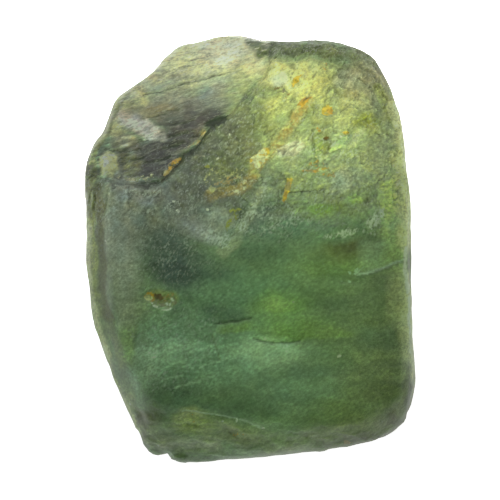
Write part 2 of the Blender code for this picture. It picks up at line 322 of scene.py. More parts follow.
# %% Veins of iron
LONG_VEIN = [
    (1.33, 3.58), (1.1, 3.22), (0.97, 2.98), (0.73, 2.62), (0.5, 2.36), (0.3, 2.14),
    (0.1, 1.8), (-0.2, 1.48), (-0.5, 1.36), (-0.9, 1.28),
]  # fmt: skip
SHORT_VEIN = [(0.92, 1.66), (0.91, 1.46), (0.86, 1.24)]
VEIN_BED = 0.03
VEIN_CRUMB = 0.07
KNOT_CRUMB = 0.08
vein = np.maximum(band(LONG_VEIN, 0.1), patch((0.22, 2.1), (0.17, 0.14))) * upward
short_vein = band(SHORT_VEIN, 0.085) * upward
any_vein = np.maximum(vein, short_vein)
vein_knot = patch((0.27, 2.24), (0.27, 0.2), 50) * upward
shift += any_vein * (VEIN_CRUMB * crumbs - VEIN_BED) + KNOT_CRUMB * vein_knot * crumbs
print("points on the veins:", int((any_vein > 0.5).sum()))

# %% Pits and lumps: middle, radii, turn, and height
HOLLOWS_AND_LUMPS = {
    "brown_pit": ((0.58, 3.92), (0.15, 0.075), 8, -0.1),
    "brown_crumbs": ((0.74, 3.76), (0.12, 0.12), 40, 0.05),
    "brown_crystal": ((1.26, 3.54), (0.16, 0.08), 22, 0.05),
    "orange_crystal": ((1.85, 3.34), (0.13, 0.12), 0, -0.05),
    "small_crystal_a": ((1.67, 2.86), (0.06, 0.05), 0, -0.03),
    "small_crystal_b": ((1.86, 2.68), (0.08, 0.05), 0, -0.04),
    "small_crystal_c": ((2.3, 2.8), (0.11, 0.05), 10, -0.03),
    "rust_pit": ((-2.12, -1.13), (0.33, 0.16), -6, -0.09),
    "hairline_lens": ((2.48, -0.47), (0.18, 0.06), 22, -0.02),
    "lower_lens": ((2.32, -0.73), (0.15, 0.06), 12, -0.015),
    "bevel_knock": ((-1.42, -4.03), (0.24, 0.16), 10, -0.03),
    "bevel_pit": ((-0.23, -4.38), (0.26, 0.08), -6, -0.012),
    "corner_pock": ((-2.72, -4.02), (0.22, 0.14), 20, -0.04),
}
RUST_CRUMB = 0.08
BROWN_CRUMB = 0.06
masks = {}
for name, (middle, radii, turn, height) in HOLLOWS_AND_LUMPS.items():
    masks[name] = patch(middle, radii, turn, 0.35) * upward
    shift += height * masks[name]
shift += masks["rust_pit"] * RUST_CRUMB * crumbs
shift += masks["brown_crumbs"] * BROWN_CRUMB * crumbs
print("pits and lumps:", len(masks))

# %% Hairlines and grooves: path, half width and height
GROOVES = {
    "upright_split": ([(1.5, 2.86), (1.53, 2.45), (1.62, 1.97)], 0.04, -0.05),
    "low_split": ([(1.74, 1.46), (1.77, 1.2), (1.76, 0.92)], 0.03, -0.02),
    "pale_arc": ([(2.16, 3.5), (2.4, 3.62), (2.66, 3.6), (2.86, 3.44)], 0.05, 0.03),
    "crescent": ([(1.79, 2.56), (1.83, 2.4), (1.95, 2.33), (2.08, 2.41)], 0.035, -0.03),
    "pale_ridge": ([(2.63, 2.71), (2.28, 2.42), (1.96, 2.14)], 0.1, 0.03),
    "slope_line_a": ([(0.92, 1.38), (1.35, 1.41), (1.79, 1.49)], 0.03, -0.03),
    "slope_line_b": ([(1.48, 1.75), (1.81, 1.78)], 0.03, -0.02),
    "short_groove": ([(-0.85, -1.77), (-0.4, -1.72), (0.04, -1.61)], 0.035, -0.02),
    "upright_groove": ([(-0.9, -2.02), (-0.8, -2.3), (-0.73, -2.6)], 0.035, -0.015),
    "smile": ([(0.1, -2.13), (0.32, -2.21), (0.62, -2.24), (0.92, -2.21), (1.18, -2.14)], 0.045, -0.03),
    "left_groove": ([(-3.54, 0.35), (-3.54, -0.3), (-3.5, -0.95)], 0.13, -0.012),
    "left_ridge": ([(-3.32, 1.45), (-3.31, 0.3), (-3.33, -0.6), (-3.27, -1.35)], 0.16, 0.008),
}
lines = {}
for name, (path, half_width, height) in GROOVES.items():
    lines[name] = line(path, half_width) * upward
    shift += height * lines[name]
print("hairlines and grooves:", len(lines))

# %% Steps: path, how far the lower side reaches, and its drop at the path
STEPS = {
    "shelf": ([(0.38, 1.86), (0.2, 1.5), (-0.05, 1.05), (-0.26, 0.62), (-0.5, 0.22)], 0.3, 0.06),
    "right_hairline": ([(3.7, -0.2), (3.28, -0.4), (2.9, -0.52), (2.55, -0.58)], 0.25, 0.05),
    "rim_step": (
        [
            (3.05, 4.44), (2.77, 4.58), (2.58, 4.51), (2.17, 4.39),
            (1.86, 4.49), (1.48, 4.58), (0.97, 4.54), (0.47, 4.51),
        ],
        0.25, 0.06,
    ),
    "bevel_step": ([(-1.6, -3.82), (-1.0, -3.91), (-0.25, -4.03), (0.33, -4.26)], 0.2, 0.03),
}  # fmt: skip
STEP_EDGE = 0.035
for name, (path, fade, drop) in STEPS.items():
    lines[name] = line(path, STEP_EDGE) * upward
    shift -= drop * step_down(path, fade) * upward
print("steps:", len(STEPS))

# %% [markdown]
# ## What the river did
# The sloping upper face is frosted by thousands of small knocks, and the flat lower face is rubbed smoother,
# with faint growth bands across it. Each is a noise with grains of its own size: 0.4 and 0.1 mm for the
# knocks, and 1.7 by 0.3 mm for the bands.

# %% Frosted and rubbed faces: heights on the rubbed face, and how much more on the frosted one
KNOCK, FROSTED_KNOCK = 0.012, 0.022
FINE_KNOCK, FROSTED_FINE_KNOCK = 0.003, 0.01
BAND_HEIGHT = 0.01
back_slope = smoothstep(0.1, 0.7, plan[:, 1]) * (1.0 - scar) * upward
large_knocks = cloud(places, (0.42, 0.42, 0.42), 4, 3) * (1.0 - 0.6 * scar)
small_knocks = cloud(places, (0.1, 0.1, 0.1), 5, 2)
growth_bands = cloud(places, (1.7, 0.3, 0.8), 6, 2)
shift += (KNOCK + FROSTED_KNOCK * back_slope) * large_knocks
shift += (FINE_KNOCK + FROSTED_FINE_KNOCK * back_slope) * small_knocks
shift += BAND_HEIGHT * (1.0 - back_slope) * (1.0 - scar) * growth_bands
print("share of the skin on the back slope:", round(float((back_slope > 0.5).mean()), 2))

# %% Creases between the knocks of the frosted slope, where the noise crosses zero, and crests beside them
CREST_HEIGHT = 0.02
CREASE_DEPTH = 0.035
KNOCK_DIRECTION = 58
along_knock, across_knock = turned(plan + 1.5 * WANDER * wander, KNOCK_DIRECTION)
knocks = cloud(np.column_stack((along_knock, across_knock, places[:, 2])), (0.75, 0.34, 0.6), 8, 4)
knocked = smoothstep(0.6, 1.2, plan[:, 1]) * (1.0 - beyond_crack) * upward
crease = np.exp(-((knocks / 0.06) ** 2)) * knocked
crest = smoothstep(0.06, 0.16, knocks) * (1.0 - smoothstep(0.16, 0.4, knocks)) * knocked
shift += CREST_HEIGHT * crest - CREASE_DEPTH * crease
print("points in creases:", int((crease > 0.5).sum()))

# %% [markdown]
# ## The outline and the bevel
# Small chips break the outline, and low lumps fill it where wear has left it full. The lower edge is a bevel
# of fine knocks. Then the shift is used: each point goes along its normal, and down where it is cracked.

# %% Chips of the outline: middle, radii and height
EDGE_CHIPS = [
    ((-2.04, -5.02), (0.12, 0.16), -0.05),
    ((-2.34, -4.94), (0.18, 0.16), 0.05),
    ((-1.72, -5.08), (0.2, 0.16), 0.05),
    ((3.74, -4.2), (0.14, 0.14), 0.05),
    ((3.55, -4.5), (0.16, 0.14), -0.04),
    ((1.7, -4.86), (0.12, 0.12), 0.03),
    ((2.35, -4.78), (0.1, 0.12), 0.03),
    ((-1.5, -5.05), (1.4, 0.36), -0.06),
    ((0.6, 5.0), (1.05, 0.3), 0.05),
    ((-1.95, 4.75), (0.55, 0.3), 0.06),
    ((-3.32, 3.4), (0.34, 0.5), 0.05),
    ((3.45, 3.85), (0.4, 0.5), -0.04),
    ((2.85, 4.62), (0.35, 0.25), 0.03),
    ((-3.5, -2.5), (0.3, 0.6), -0.035),
    ((-2.75, -4.5), (0.18, 0.2), -0.04),
]
for middle, radii, height in EDGE_CHIPS:
    shift += height * patch(middle, radii)
print("chips and lumps of the outline:", len(EDGE_CHIPS))

# %% Knocks of the bevel and the sides
BEVEL_KNOCK = 0.02
SIDE_KNOCK = 0.022


def bevel_knocks():
    """The fine knocks of the lower bevel, from about -1 to 1, and 0 elsewhere."""
    bevel = 1.0 - smoothstep(-4.15, -3.85, plan[:, 1] + 0.1 * plan[:, 0])
    return bevel * upward * cloud(places, (0.34, 0.26, 0.3), 34, 3)


shift += BEVEL_KNOCK * bevel_knocks()
shift += SIDE_KNOCK * cloud(places, (0.45, 0.45, 0.45), 7, 2) * (1.0 - upward)
print("carved from", round(float(shift.min()), 3), "to", round(float(shift.max()), 3))

# %% The carved skin
places += normals * shift[:, None]
places[:, 2] -= sink
stone.data.vertices.foreach_set("co", (places * MM).ravel())
stone.data.update()
stone.data.shade_smooth()
print("carved points:", int((np.abs(shift) > 0.001).sum()))

# %% [markdown]
# ## The colours
# The crystal holds its colour in clouds: a dark heart where iron and titanium are rich, teal and leaf-green
# depths, and a straw-yellow glow where the broken corner lets the light in, which is a painted glow of pale
# washes over the brighter part of the panel. Each cloud is a soft, ragged ellipse on the plan of the stone,
# with its colour, its middle, its two radii, its turn and its strength, and they are laid over one another
# like washes of watercolour. The colours are tints of the skin: the green of the volume and the light of the
# panel come on top, so they are greyer here than they look, and the palest ones let the light through. Light
# crosses the stone from its underside, so a colour that is laid on the upper side alone shows more weakly
# than one that goes through the whole plan.

# %% The palette
def linear(hex_colour):
    """A colour written as sRGB hex, made linear as the shader wants it."""
    channels = [int(hex_colour[index:index + 2], 16) / 255 for index in (1, 3, 5)]
    return tuple(c / 12.92 if c <= 0.04045 else ((c + 0.055) / 1.055) ** 2.4 for c in channels)


PALETTE = {
    "moss": "#6c8662",
    "fir": "#8a9c68",
    "side_olive": "#a4aa48",
    "pine": "#52735f",
    "dark_pine": "#445c4a",
    "bottle": "#1f2b35",
    "slate": "#595a5e",
    "graphite": "#35352f",
    "coal": "#121210",
    "peat": "#241c1b",
    "mist": "#b2b1b4",
    "stone": "#9a9c84",
    "lavender": "#8e88a6",
    "teal": "#7a9c8a",
    "sea": "#bcd4cc",
    "foam": "#c8ecd2",
    "leaf": "#769b52",
    "fern": "#7c9c30",
    "meadow": "#b8da90",
    "bright_leaf": "#defc74",
    "olive": "#7c8450",
    "deep_olive": "#5e6636",
    "rim_olive": "#2e3c10",
    "gold_olive": "#8c8a20",
    "drab": "#74694a",
    "bark": "#4c4c28",
    "sage": "#a0a67a",
    "pale_sage": "#eae8ac",
    "hay": "#8e9058",
    "straw": "#bcb66e",
    "lemon": "#fff8a8",
    "dove": "#aea286",
    "parchment": "#f0eaa2",
    "pink_grey": "#fce4ee",
    "umber": "#5c5048",
    "crack_shade": "#0c120c",
    "rust": "#d08418",
    "ochre": "#a47e40",
    "amber": "#f0b428",
    "cream": "#fff0cc",
    "iron_brown": "#4a2c10",
    "chalk": "#ffffff",
}
colour = np.tile(np.array(linear(PALETTE["moss"])), (count, 1))
print("colours of the palette:", len(PALETTE))


def wash(mask, name, strength=1.0):
    """Lays a colour of the palette over the skin, as thick as the mask and the strength say."""
    share = (mask * strength)[:, None]
    colour[:] = colour * (1.0 - share) + np.array(linear(PALETTE[name])) * share


def lay_clouds(clouds, edge, where=1.0):
    """Lays a list of clouds over the skin, where it is asked for, with an edge that is crisp or soft."""
    for name, middle, radii, turn, strength in clouds:
        wash(patch(middle, radii, turn, edge) * where, name, strength)
    print("clouds laid:", len(clouds))


# %% Clouds of the level face
LEVEL_CLOUDS = [
    ("pine", (-0.5, -0.95), (1.5, 0.6), 0, 0.8),
    ("pine", (-1.8, -2.55), (1.35, 1.05), 10, 0.6),
    ("teal", (-1.8, -2.45), (1.25, 0.85), 10, 0.7),
    ("sea", (-2.55, -2.75), (0.4, 0.5), 0, 0.6),
    ("teal", (-0.2, -2.55), (1.2, 0.62), 0, 0.7),
    ("foam", (0.55, -2.45), (0.85, 0.3), 0, 0.9),
    ("foam", (0.25, -2.26), (0.34, 0.12), 0, 0.8),
    # A painted sheen: the grey light on the left shoulder, where the face turns to the side.
    ("mist", (-3.05, 0.3), (0.42, 1.7), 0, 1.0),
    ("slate", (-2.0, 0.9), (1.1, 0.7), 0, 0.9),
    ("lavender", (-2.45, 1.32), (0.62, 0.22), 0, 0.6),
    ("bottle", (-1.95, -0.05), (0.78, 0.62), -12, 0.85),
    ("bottle", (-1.72, -0.6), (0.62, 0.36), -14, 0.85),
    ("bottle", (-1.05, -0.4), (0.7, 0.28), -14, 0.65),
    ("bottle", (-1.45, 0.18), (0.5, 0.36), 0, 0.4),
    ("lavender", (-1.1, 0.44), (0.6, 0.22), -25, 0.75),
    ("dark_pine", (0.2, -0.05), (0.9, 0.34), 0, 1.0),
    ("leaf", (0.7, -1.3), (0.6, 0.3), 0, 1.0),
    ("leaf", (1.05, -1.88), (0.8, 0.3), 0, 0.7),
    ("meadow", (0.68, -1.26), (0.3, 0.14), 0, 0.5),
    ("fern", (0.95, -1.92), (0.5, 0.2), 0, 0.35),
    ("leaf", (2.2, -0.35), (0.9, 0.3), 0, 0.4),
    ("fern", (1.9, -0.42), (0.5, 0.2), 0, 0.3),
    ("meadow", (3.2, -0.12), (0.5, 0.34), 20, 1.0),
    ("fir", (2.85, -2.95), (1.4, 1.2), 0, 1.0),
    ("moss", (2.6, -1.45), (0.9, 0.4), 0, 0.6),
    ("fir", (3.0, -1.35), (0.7, 0.95), 0, 0.4),
    ("pine", (2.95, -2.1), (0.6, 0.28), 0, 0.6),
    ("dark_pine", (-1.75, -3.42), (0.6, 0.3), 0, 0.65),
    ("dark_pine", (-0.1, -3.75), (1.1, 0.34), 0, 0.6),
    ("pine", (1.75, -2.6), (0.65, 0.42), 0, 0.6),
    ("teal", (1.3, -3.3), (0.95, 0.5), 0, 0.7),
    ("hay", (-0.6, -4.35), (1.2, 0.26), -8, 0.8),
    ("side_olive", (-1.38, -4.1), (0.5, 0.22), 10, 0.5),
    ("bark", (-0.25, -4.38), (0.4, 0.14), -8, 0.6),
    ("stone", (-1.0, -4.62), (0.34, 0.16), 20, 0.9),
    ("bark", (-2.55, -4.05), (0.4, 0.26), 30, 1.0),
    ("olive", (2.3, -4.35), (1.4, 0.32), 10, 0.9),
    ("bark", (3.55, -4.05), (0.38, 0.44), 30, 1.0),
    ("stone", (-1.75, -4.62), (0.8, 0.2), -8, 0.9),
    ("stone", (0.8, -4.8), (0.55, 0.14), 6, 0.9),
    ("stone", (-2.5, -4.4), (0.4, 0.26), 0, 0.9),
    ("deep_olive", (-2.35, -4.1), (0.2, 0.12), 0, 0.6),
    ("pale_sage", (3.73, -1.1), (0.18, 1.6), 0, 0.9),
    ("deep_olive", (2.4, -0.02), (0.84, 0.28), 0, 0.9),
    ("deep_olive", (2.66, 0.22), (0.56, 0.4), 0, 0.8),
    ("dark_pine", (0.55, 0.66), (1.1, 0.34), 0, 1.0),
    ("bottle", (0.3, 0.58), (1.1, 0.26), 0, 0.6),
    ("dark_pine", (2.1, 0.42), (0.6, 0.24), 0, 0.6),
    ("bark", (2.6, 0.2), (0.6, 0.38), 0, 0.85),
    ("bark", (2.5, 0.38), (0.34, 0.2), 0, 0.5),
    ("pale_sage", (3.52, -1.15), (0.24, 0.6), 0, 0.6),
    ("stone", (-2.96, -1.75), (0.2, 0.6), 0, 0.4),
    ("fir", (-2.96, -2.2), (0.24, 0.5), 0, 0.9),
    ("meadow", (-2.96, -2.24), (0.2, 0.34), 0, 0.5),
    ("mist", (-2.98, -1.4), (0.24, 0.4), 0, 0.5),
    ("stone", (-2.72, -1.4), (0.26, 0.34), 0, 0.5),
    ("dark_pine", (-1.5, -1.4), (0.5, 0.26), 0, 0.6),
    ("pine", (-1.25, -2.18), (0.4, 0.18), 0, 0.6),
    ("fir", (1.8, -3.9), (0.9, 0.26), 0, 0.9),
    ("meadow", (1.75, -3.8), (0.75, 0.28), 0, 0.35),
    ("teal", (1.2, -3.8), (0.5, 0.24), 0, 0.5),
    ("straw", (-1.48, -3.92), (0.34, 0.16), 0, 0.7),
    ("bark", (3.1, -4.35), (0.55, 0.22), 20, 0.6),
    ("rim_olive", (2.1, -4.58), (0.9, 0.2), 12, 0.6),
]
lay_clouds(LEVEL_CLOUDS, 0.6)

# %% [markdown]
# ## Planes inside the crystal
# Some clouds end at a growth plane or a healed crack inside the crystal. Their lower edge is crisp and the
# upper one fades, so each is the area between two paths, which run to the right. It isn't built as a surface
# inside the stone, because a frosted skin lets only its colour through.

# %% Crisp-edged clouds of the level face: colour, upper path, lower path and strength
PLANES = [
    ("bottle", [(-1.3, -1.3), (-0.4, -1.34), (0.1, -1.46)],
     [(-1.3, -1.72), (-0.85, -1.77), (-0.4, -1.72), (0.1, -1.59)], 0.6),
    ("fern", [(-0.9, -1.8), (-0.4, -1.75), (0.2, -1.62)],
     [(-0.9, -2.0), (-0.2, -1.98), (0.2, -1.9)], 0.6),
    ("foam", [(-0.35, -2.06), (0.1, -1.96), (0.4, -2.02)],
     [(-0.5, -2.46), (0.0, -2.52), (0.45, -2.3)], 0.2),
    ("foam", [(0.0, -2.17), (0.62, -2.27), (1.2, -2.2)],
     [(0.0, -2.6), (0.7, -2.72), (1.2, -2.62)], 0.7),
    ("leaf", [(0.4, -1.56), (0.9, -1.5), (1.35, -1.66)],
     [(0.3, -2.16), (0.62, -2.24), (1.35, -2.16)], 0.4),
    ("bright_leaf", [(0.2, -1.16), (0.66, -1.08), (1.1, -1.2)],
     [(0.2, -1.44), (0.66, -1.52), (1.1, -1.44)], 0.15),
    ("fern", [(1.15, -1.78), (1.7, -1.8), (2.6, -1.92)],
     [(1.15, -2.14), (1.7, -2.12), (2.6, -2.06)], 0.45),
    ("foam", [(2.4, 0.1), (3.2, 0.3), (3.75, 0.4)],
     [(2.5, -0.6), (2.9, -0.56), (3.28, -0.44), (3.75, -0.22)], 0.5),
    ("bottle", [(1.4, -1.05), (2.2, -1.1), (3.0, -1.0)],
     [(1.4, -1.4), (2.2, -1.46), (3.0, -1.38)], 0.25),
    ("bottle", [(0.9, -2.76), (1.6, -2.7), (2.4, -2.6)],
     [(0.9, -3.1), (1.6, -3.06), (2.4, -2.96)], 0.3),
    ("foam", [(-2.6, -2.2), (-1.8, -2.1), (-1.0, -2.2)],
     [(-2.6, -2.66), (-1.8, -2.74), (-1.0, -2.56)], 0.35),
]


def between(upper, lower):
    """1 between two paths that run to the right, with a crisp lower edge and a soft upper one."""
    upper = np.array(upper)
    lower = np.array(lower)
    top_edge = np.interp(shaky[:, 0], upper[:, 0], upper[:, 1])
    low_edge = np.interp(shaky[:, 0], lower[:, 0], lower[:, 1])
    start = max(upper[0, 0], lower[0, 0])
    end = min(upper[-1, 0], lower[-1, 0])
    begun = smoothstep(start - 0.05, start + 0.35, ragged[:, 0])
    ended = smoothstep(end - 0.35, end + 0.05, ragged[:, 0])
    above = smoothstep(-0.02, 0.03, shaky[:, 1] - low_edge)
    beyond = smoothstep(-0.15, 0.1, ragged[:, 1] - top_edge)
    return above * (1.0 - beyond) * begun * (1.0 - ended)


for name, upper_path, lower_path, strength in PLANES:
    wash(between(upper_path, lower_path) * upward, name, strength)
print("planes:", len(PLANES))

# %% [markdown]
# ## The glow of the back slope and the greys of the scar
# Behind the veins the crystal is thin and glows yellow: the panel is brighter there, and pale straw and lemon
# washes add a painted glow. In front of them it is grey with frost, and the scar goes from cream at the top,
# where it is clean, to nearly black at the crack. The crack is the border: the clouds of the slope stop at it
# on one side, and those of the scar on the other.

# %% Clouds of the back slope, with a painted glow of straw and lemon near its top
SLOPE_CLOUDS = [
    ("graphite", (-0.95, 1.8), (1.0, 0.95), -30, 0.9),
    ("graphite", (-0.6, 1.35), (0.9, 0.7), -30, 0.6),
    ("deep_olive", (0.0, 2.7), (0.6, 1.2), -35, 1.0),
    ("graphite", (-0.66, 2.8), (0.36, 0.5), -20, 0.8),
    ("olive", (0.6, 2.95), (0.34, 0.55), -20, 0.8),
    ("hay", (1.7, 3.05), (1.1, 1.1), 0, 0.95),
    ("olive", (1.45, 3.0), (0.6, 0.5), 0, 0.6),
    ("sage", (1.9, 2.0), (1.3, 0.85), 0, 0.9),
    ("straw", (0.95, 3.85), (0.65, 0.5), 0, 0.9),
    ("lemon", (1.05, 4.18), (0.7, 0.34), 0, 1.0),
    ("straw", (1.75, 3.8), (0.5, 0.4), 30, 0.35),
    # A painted highlight above the brown pit.
    ("chalk", (0.68, 4.12), (0.2, 0.15), 0, 1.0),
    ("lemon", (0.34, 4.38), (0.36, 0.2), 0, 0.9),
    ("deep_olive", (0.46, 3.8), (0.3, 0.18), 0, 0.75),
    ("pale_sage", (2.02, 3.22), (0.46, 0.44), 0, 0.3),
    ("deep_olive", (1.4, 3.26), (0.22, 0.22), 0, 0.7),
    ("deep_olive", (1.66, 2.62), (0.18, 0.24), 0, 0.65),
    ("leaf", (2.35, 2.55), (0.3, 0.34), 0, 0.4),
    ("graphite", (0.16, 2.44), (0.2, 0.13), 20, 0.7),
    ("olive", (0.8, 2.66), (0.2, 0.2), 0, 0.5),
    ("bark", (-0.22, 3.46), (0.28, 0.5), -10, 0.7),
    ("graphite", (-0.24, 2.4), (0.32, 0.85), -8, 0.6),
    ("graphite", (-1.8, 1.26), (0.36, 0.26), 0, 0.4),
    ("olive", (1.45, 2.86), (0.5, 0.56), 0, 0.35),
    ("straw", (2.95, 2.4), (0.3, 0.5), 0, 0.3),
    ("dove", (2.85, 3.95), (0.62, 0.55), -30, 0.95),
    ("sage", (3.35, 2.4), (0.4, 1.3), 0, 0.9),
    ("gold_olive", (2.8, 3.04), (0.36, 0.2), 0, 0.9),
    ("chalk", (1.0, 2.38), (0.28, 0.12), 0, 0.5),
    ("mist", (2.3, 1.75), (0.36, 0.26), 0, 0.6),
    ("olive", (1.1, 1.6), (0.55, 0.4), 0, 0.6),
    ("slate", (0.45, 1.05), (0.45, 0.55), -20, 0.6),
    ("mist", (-0.7, 0.68), (0.36, 0.24), -20, 0.45),
    ("olive", (2.1, 1.15), (1.5, 0.38), 0, 0.6),
    ("fern", (1.85, 0.95), (0.4, 0.14), 0, 0.6),
    ("fern", (2.52, 1.25), (0.2, 0.11), 0, 0.8),
    ("pine", (1.6, 0.45), (1.8, 0.26), 0, 0.6),
    ("bright_leaf", (3.55, 1.15), (0.36, 1.05), 0, 1.0),
    ("meadow", (3.55, 0.2), (0.4, 0.7), 0, 1.0),
]
lay_clouds(SLOPE_CLOUDS, 0.5, 1.0 - beyond_crack)

# %% Crisp patches of the back slope
SLOPE_PATCHES = [
    ("sage", (1.05, 2.45), (0.44, 0.26), 10, 0.6),
    ("pink_grey", (1.02, 2.42), (0.3, 0.15), 10, 0.75),
    ("deep_olive", (1.36, 1.98), (0.24, 0.22), 0, 0.6),
    ("fern", (1.66, 2.34), (0.16, 0.46), -4, 0.5),
    ("meadow", (2.1, 2.4), (0.36, 0.12), 45, 0.9),
    ("pale_sage", (2.5, 2.62), (0.3, 0.08), 48, 0.8),
    ("gold_olive", (1.86, 2.44), (0.12, 0.1), 0, 0.7),
    ("gold_olive", (2.74, 3.08), (0.22, 0.14), 10, 0.9),
    ("mist", (2.3, 4.1), (0.3, 0.2), 20, 0.6),
    ("pale_sage", (2.45, 3.55), (0.34, 0.07), -14, 0.7),
    ("pale_sage", (2.75, 3.62), (0.2, 0.06), -50, 0.6),
    ("mist", (2.12, 1.62), (0.26, 0.3), 0, 0.7),
    ("pale_sage", (1.95, 2.12), (0.3, 0.2), 0, 0.4),
    ("hay", (1.75, 3.0), (0.24, 0.2), 0, 0.6),
    ("fern", (1.75, 0.98), (0.34, 0.13), 0, 0.9),
    ("bright_leaf", (2.54, 1.26), (0.15, 0.09), 0, 0.5),
    ("dark_pine", (0.5, 1.1), (0.4, 0.24), 10, 0.6),
    ("stone", (3.2, 2.1), (0.24, 0.5), 10, 0.6),
    ("pine", (1.2, 0.6), (0.6, 0.16), 0, 0.6),
]
lay_clouds(SLOPE_PATCHES, 0.2, (1.0 - beyond_crack) * upward)

# %% Clouds of the scar
SCAR_CLOUDS = [
    ("parchment", (-1.1, 4.5), (1.7, 0.8), 28, 1.0),
    ("straw", (-0.1, 4.3), (0.45, 0.42), 0, 0.5),
    ("cream", (-0.5, 4.8), (0.74, 0.34), 10, 0.85),
    ("cream", (0.12, 4.42), (0.3, 0.24), 0, 0.8),
    ("sage", (-2.0, 3.85), (0.8, 0.24), 20, 0.8),
    ("sage", (-1.15, 3.92), (0.85, 0.34), 22, 0.9),
    ("slate", (-0.92, 3.64), (0.85, 0.34), 22, 0.95),
    ("umber", (-1.95, 3.53), (0.62, 0.2), 14, 0.7),
    ("umber", (-2.3, 3.24), (0.5, 0.14), 10, 0.4),
    ("moss", (-1.28, 3.84), (0.36, 0.16), 22, 0.55),
    ("hay", (-1.6, 4.4), (0.85, 0.26), 25, 0.4),
    ("olive", (-0.3, 3.85), (0.34, 0.3), 30, 0.7),
    ("straw", (-2.8, 3.5), (0.34, 0.22), 30, 0.8),
    ("parchment", (-2.7, 3.8), (0.24, 0.14), 30, 0.8),
    ("peat", (-1.75, 3.2), (0.65, 0.28), 12, 0.9),
    ("coal", (-1.0, 3.18), (0.5, 0.22), 24, 1.0),
    ("peat", (-1.6, 2.75), (0.62, 0.38), 20, 1.0),
    ("coal", (-1.7, 2.68), (0.5, 0.24), 20, 0.75),
    ("drab", (-3.2, 2.62), (0.18, 0.24), -20, 0.6),
    ("parchment", (-3.22, 2.98), (0.3, 0.22), 0, 1.0),
    ("pink_grey", (-2.68, 2.97), (0.62, 0.21), -28, 0.95),
    ("umber", (-2.3, 2.64), (0.3, 0.14), -10, 0.3),
    ("drab", (-2.4, 3.32), (0.62, 0.17), 10, 0.85),
    ("dove", (-2.95, 2.6), (0.36, 0.12), -20, 0.6),
    ("peat", (-2.5, 2.36), (0.8, 0.24), 8, 0.9),
    ("coal", (-2.1, 2.15), (0.6, 0.42), 0, 1.0),
    ("coal", (-2.4, 1.9), (0.66, 0.26), 4, 1.0),
    ("bark", (-2.9, 2.05), (0.26, 0.24), 0, 1.0),
    ("mist", (-2.95, 1.7), (0.3, 0.1), 0, 0.6),
    ("lemon", (-3.37, 2.02), (0.17, 0.28), 8, 1.0),
]
lay_clouds(SCAR_CLOUDS, 0.4, beyond_crack)

# %% [markdown]
# ## Rims, edges and the underside
# The rims are seen edge on through much crystal, so they are painted dark olive, a painted shade, but the
# thinnest edges on the left and the right let the panel through and are painted pale, a painted glow. Below
# the brightest places of the upper side the underside is pale as well, or the light would never reach them.

# %% Rims and bands: colour, path, half width and strength
RIMS = [
    ("rim_olive", [(0.02, 4.92), (0.2, 4.74), (0.45, 4.78), (0.8, 4.84), (1.5, 4.84), (1.95, 4.8)], 0.2, 1.0),
    ("deep_olive", [(1.9, 4.76), (2.6, 4.76), (3.05, 4.52)], 0.2, 0.8),
    ("deep_olive", [(-2.9, 3.76), (-3.14, 3.42), (-3.3, 3.1), (-3.48, 2.8), (-3.66, 2.48)], 0.07, 0.9),
    ("side_olive", [(-3.0, 3.8), (-3.3, 3.42), (-3.5, 3.0), (-3.74, 2.6), (-3.84, 2.1)], 0.13, 1.0),
    ("side_olive", [(-3.84, 2.1), (-3.86, 1.4), (-3.84, 0.1), (-3.78, -0.8), (-3.64, -1.5)], 0.17, 0.9),
    ("olive", [(-3.6, -1.3), (-3.46, -1.9), (-3.2, -2.7)], 0.2, 0.6),
    ("moss", [(-3.36, -2.4), (-3.2, -2.8), (-2.9, -3.6)], 0.14, 0.6),
    ("bark", [(-3.6, 1.5), (-3.58, 0.1), (-3.52, -0.9), (-3.42, -1.6)], 0.12, 0.95),
    ("bark", [(-3.48, -0.9), (-3.32, -1.9), (-3.04, -2.9), (-2.7, -3.8)], 0.07, 0.4),
    # A painted glow of the panel through the thin right edge.
    ("lemon", [(3.64, 2.2), (3.7, 1.2), (3.76, 0.2)], 0.26, 0.95),
    ("deep_olive", [(-3.88, 2.25), (-3.92, 0.9)], 0.2, 1.0),
    ("sage", [(-2.9, -3.5), (-2.8, -3.76)], 0.1, 0.8),
    ("side_olive", [(3.12, 3.9), (3.44, 3.2)], 0.14, 0.8),
    # A painted glow along the thin right edge, lower down.
    ("chalk", [(3.86, -1.15), (3.88, -1.8), (3.9, -2.4)], 0.1, 1.0),
    ("rim_olive", [(3.84, 0.05), (3.86, -1.0)], 0.09, 0.8),
    ("deep_olive", [(3.8, -2.9), (3.76, -3.6), (3.56, -4.2), (2.9, -4.6), (1.9, -4.8)], 0.14, 0.9),
    ("rim_olive", [(3.92, -2.95), (3.9, -3.4), (3.8, -3.9), (3.52, -4.35)], 0.12, 0.85),
    (
        "stone", [(0.46, 1.82), (0.3, 1.5), (0.05, 1.02), (-0.16, 0.58), (-0.38, 0.16), (-0.68, -0.08)],
        0.12, 0.55,
    ),
    ("coal", [(0.34, 1.84), (0.16, 1.5), (-0.08, 1.08), (-0.3, 0.62)], 0.05, 0.15),
    ("ochre", LONG_VEIN, 0.15, 0.5),
    ("gold_olive", [(-2.3, -1.12), (-1.9, -1.14)], 0.18, 0.6),
]  # fmt: skip
for name, path, half_width, strength in RIMS:
    wash(band(path, half_width), name, strength)
print("rims and bands:", len(RIMS))

# %% The pale fringe, a painted glow of the thin edges: a thin line along the outline, and wider where the side stands upright
FRINGE_LINE = 0.12
FRINGE_SIDE = 0.3
FRINGES = [
    [(-3.9, 0.5), (-3.9, -0.3), (-3.84, -1.1), (-3.62, -2.1), (-3.3, -3.1), (-2.8, -4.2)],
    [(3.45, 3.5), (3.8, 2.2), (3.92, 0.3)],
    [(3.95, -1.3), (3.97, -2.9)],
]
upright = 1.0 - smoothstep(0.05, 0.5, np.abs(normals[:, 2]))
for path in FRINGES:
    wash(np.maximum(band(path, FRINGE_SIDE) * upright, band(path, FRINGE_LINE)), "pale_sage", 1.0)
print("fringes:", len(FRINGES))

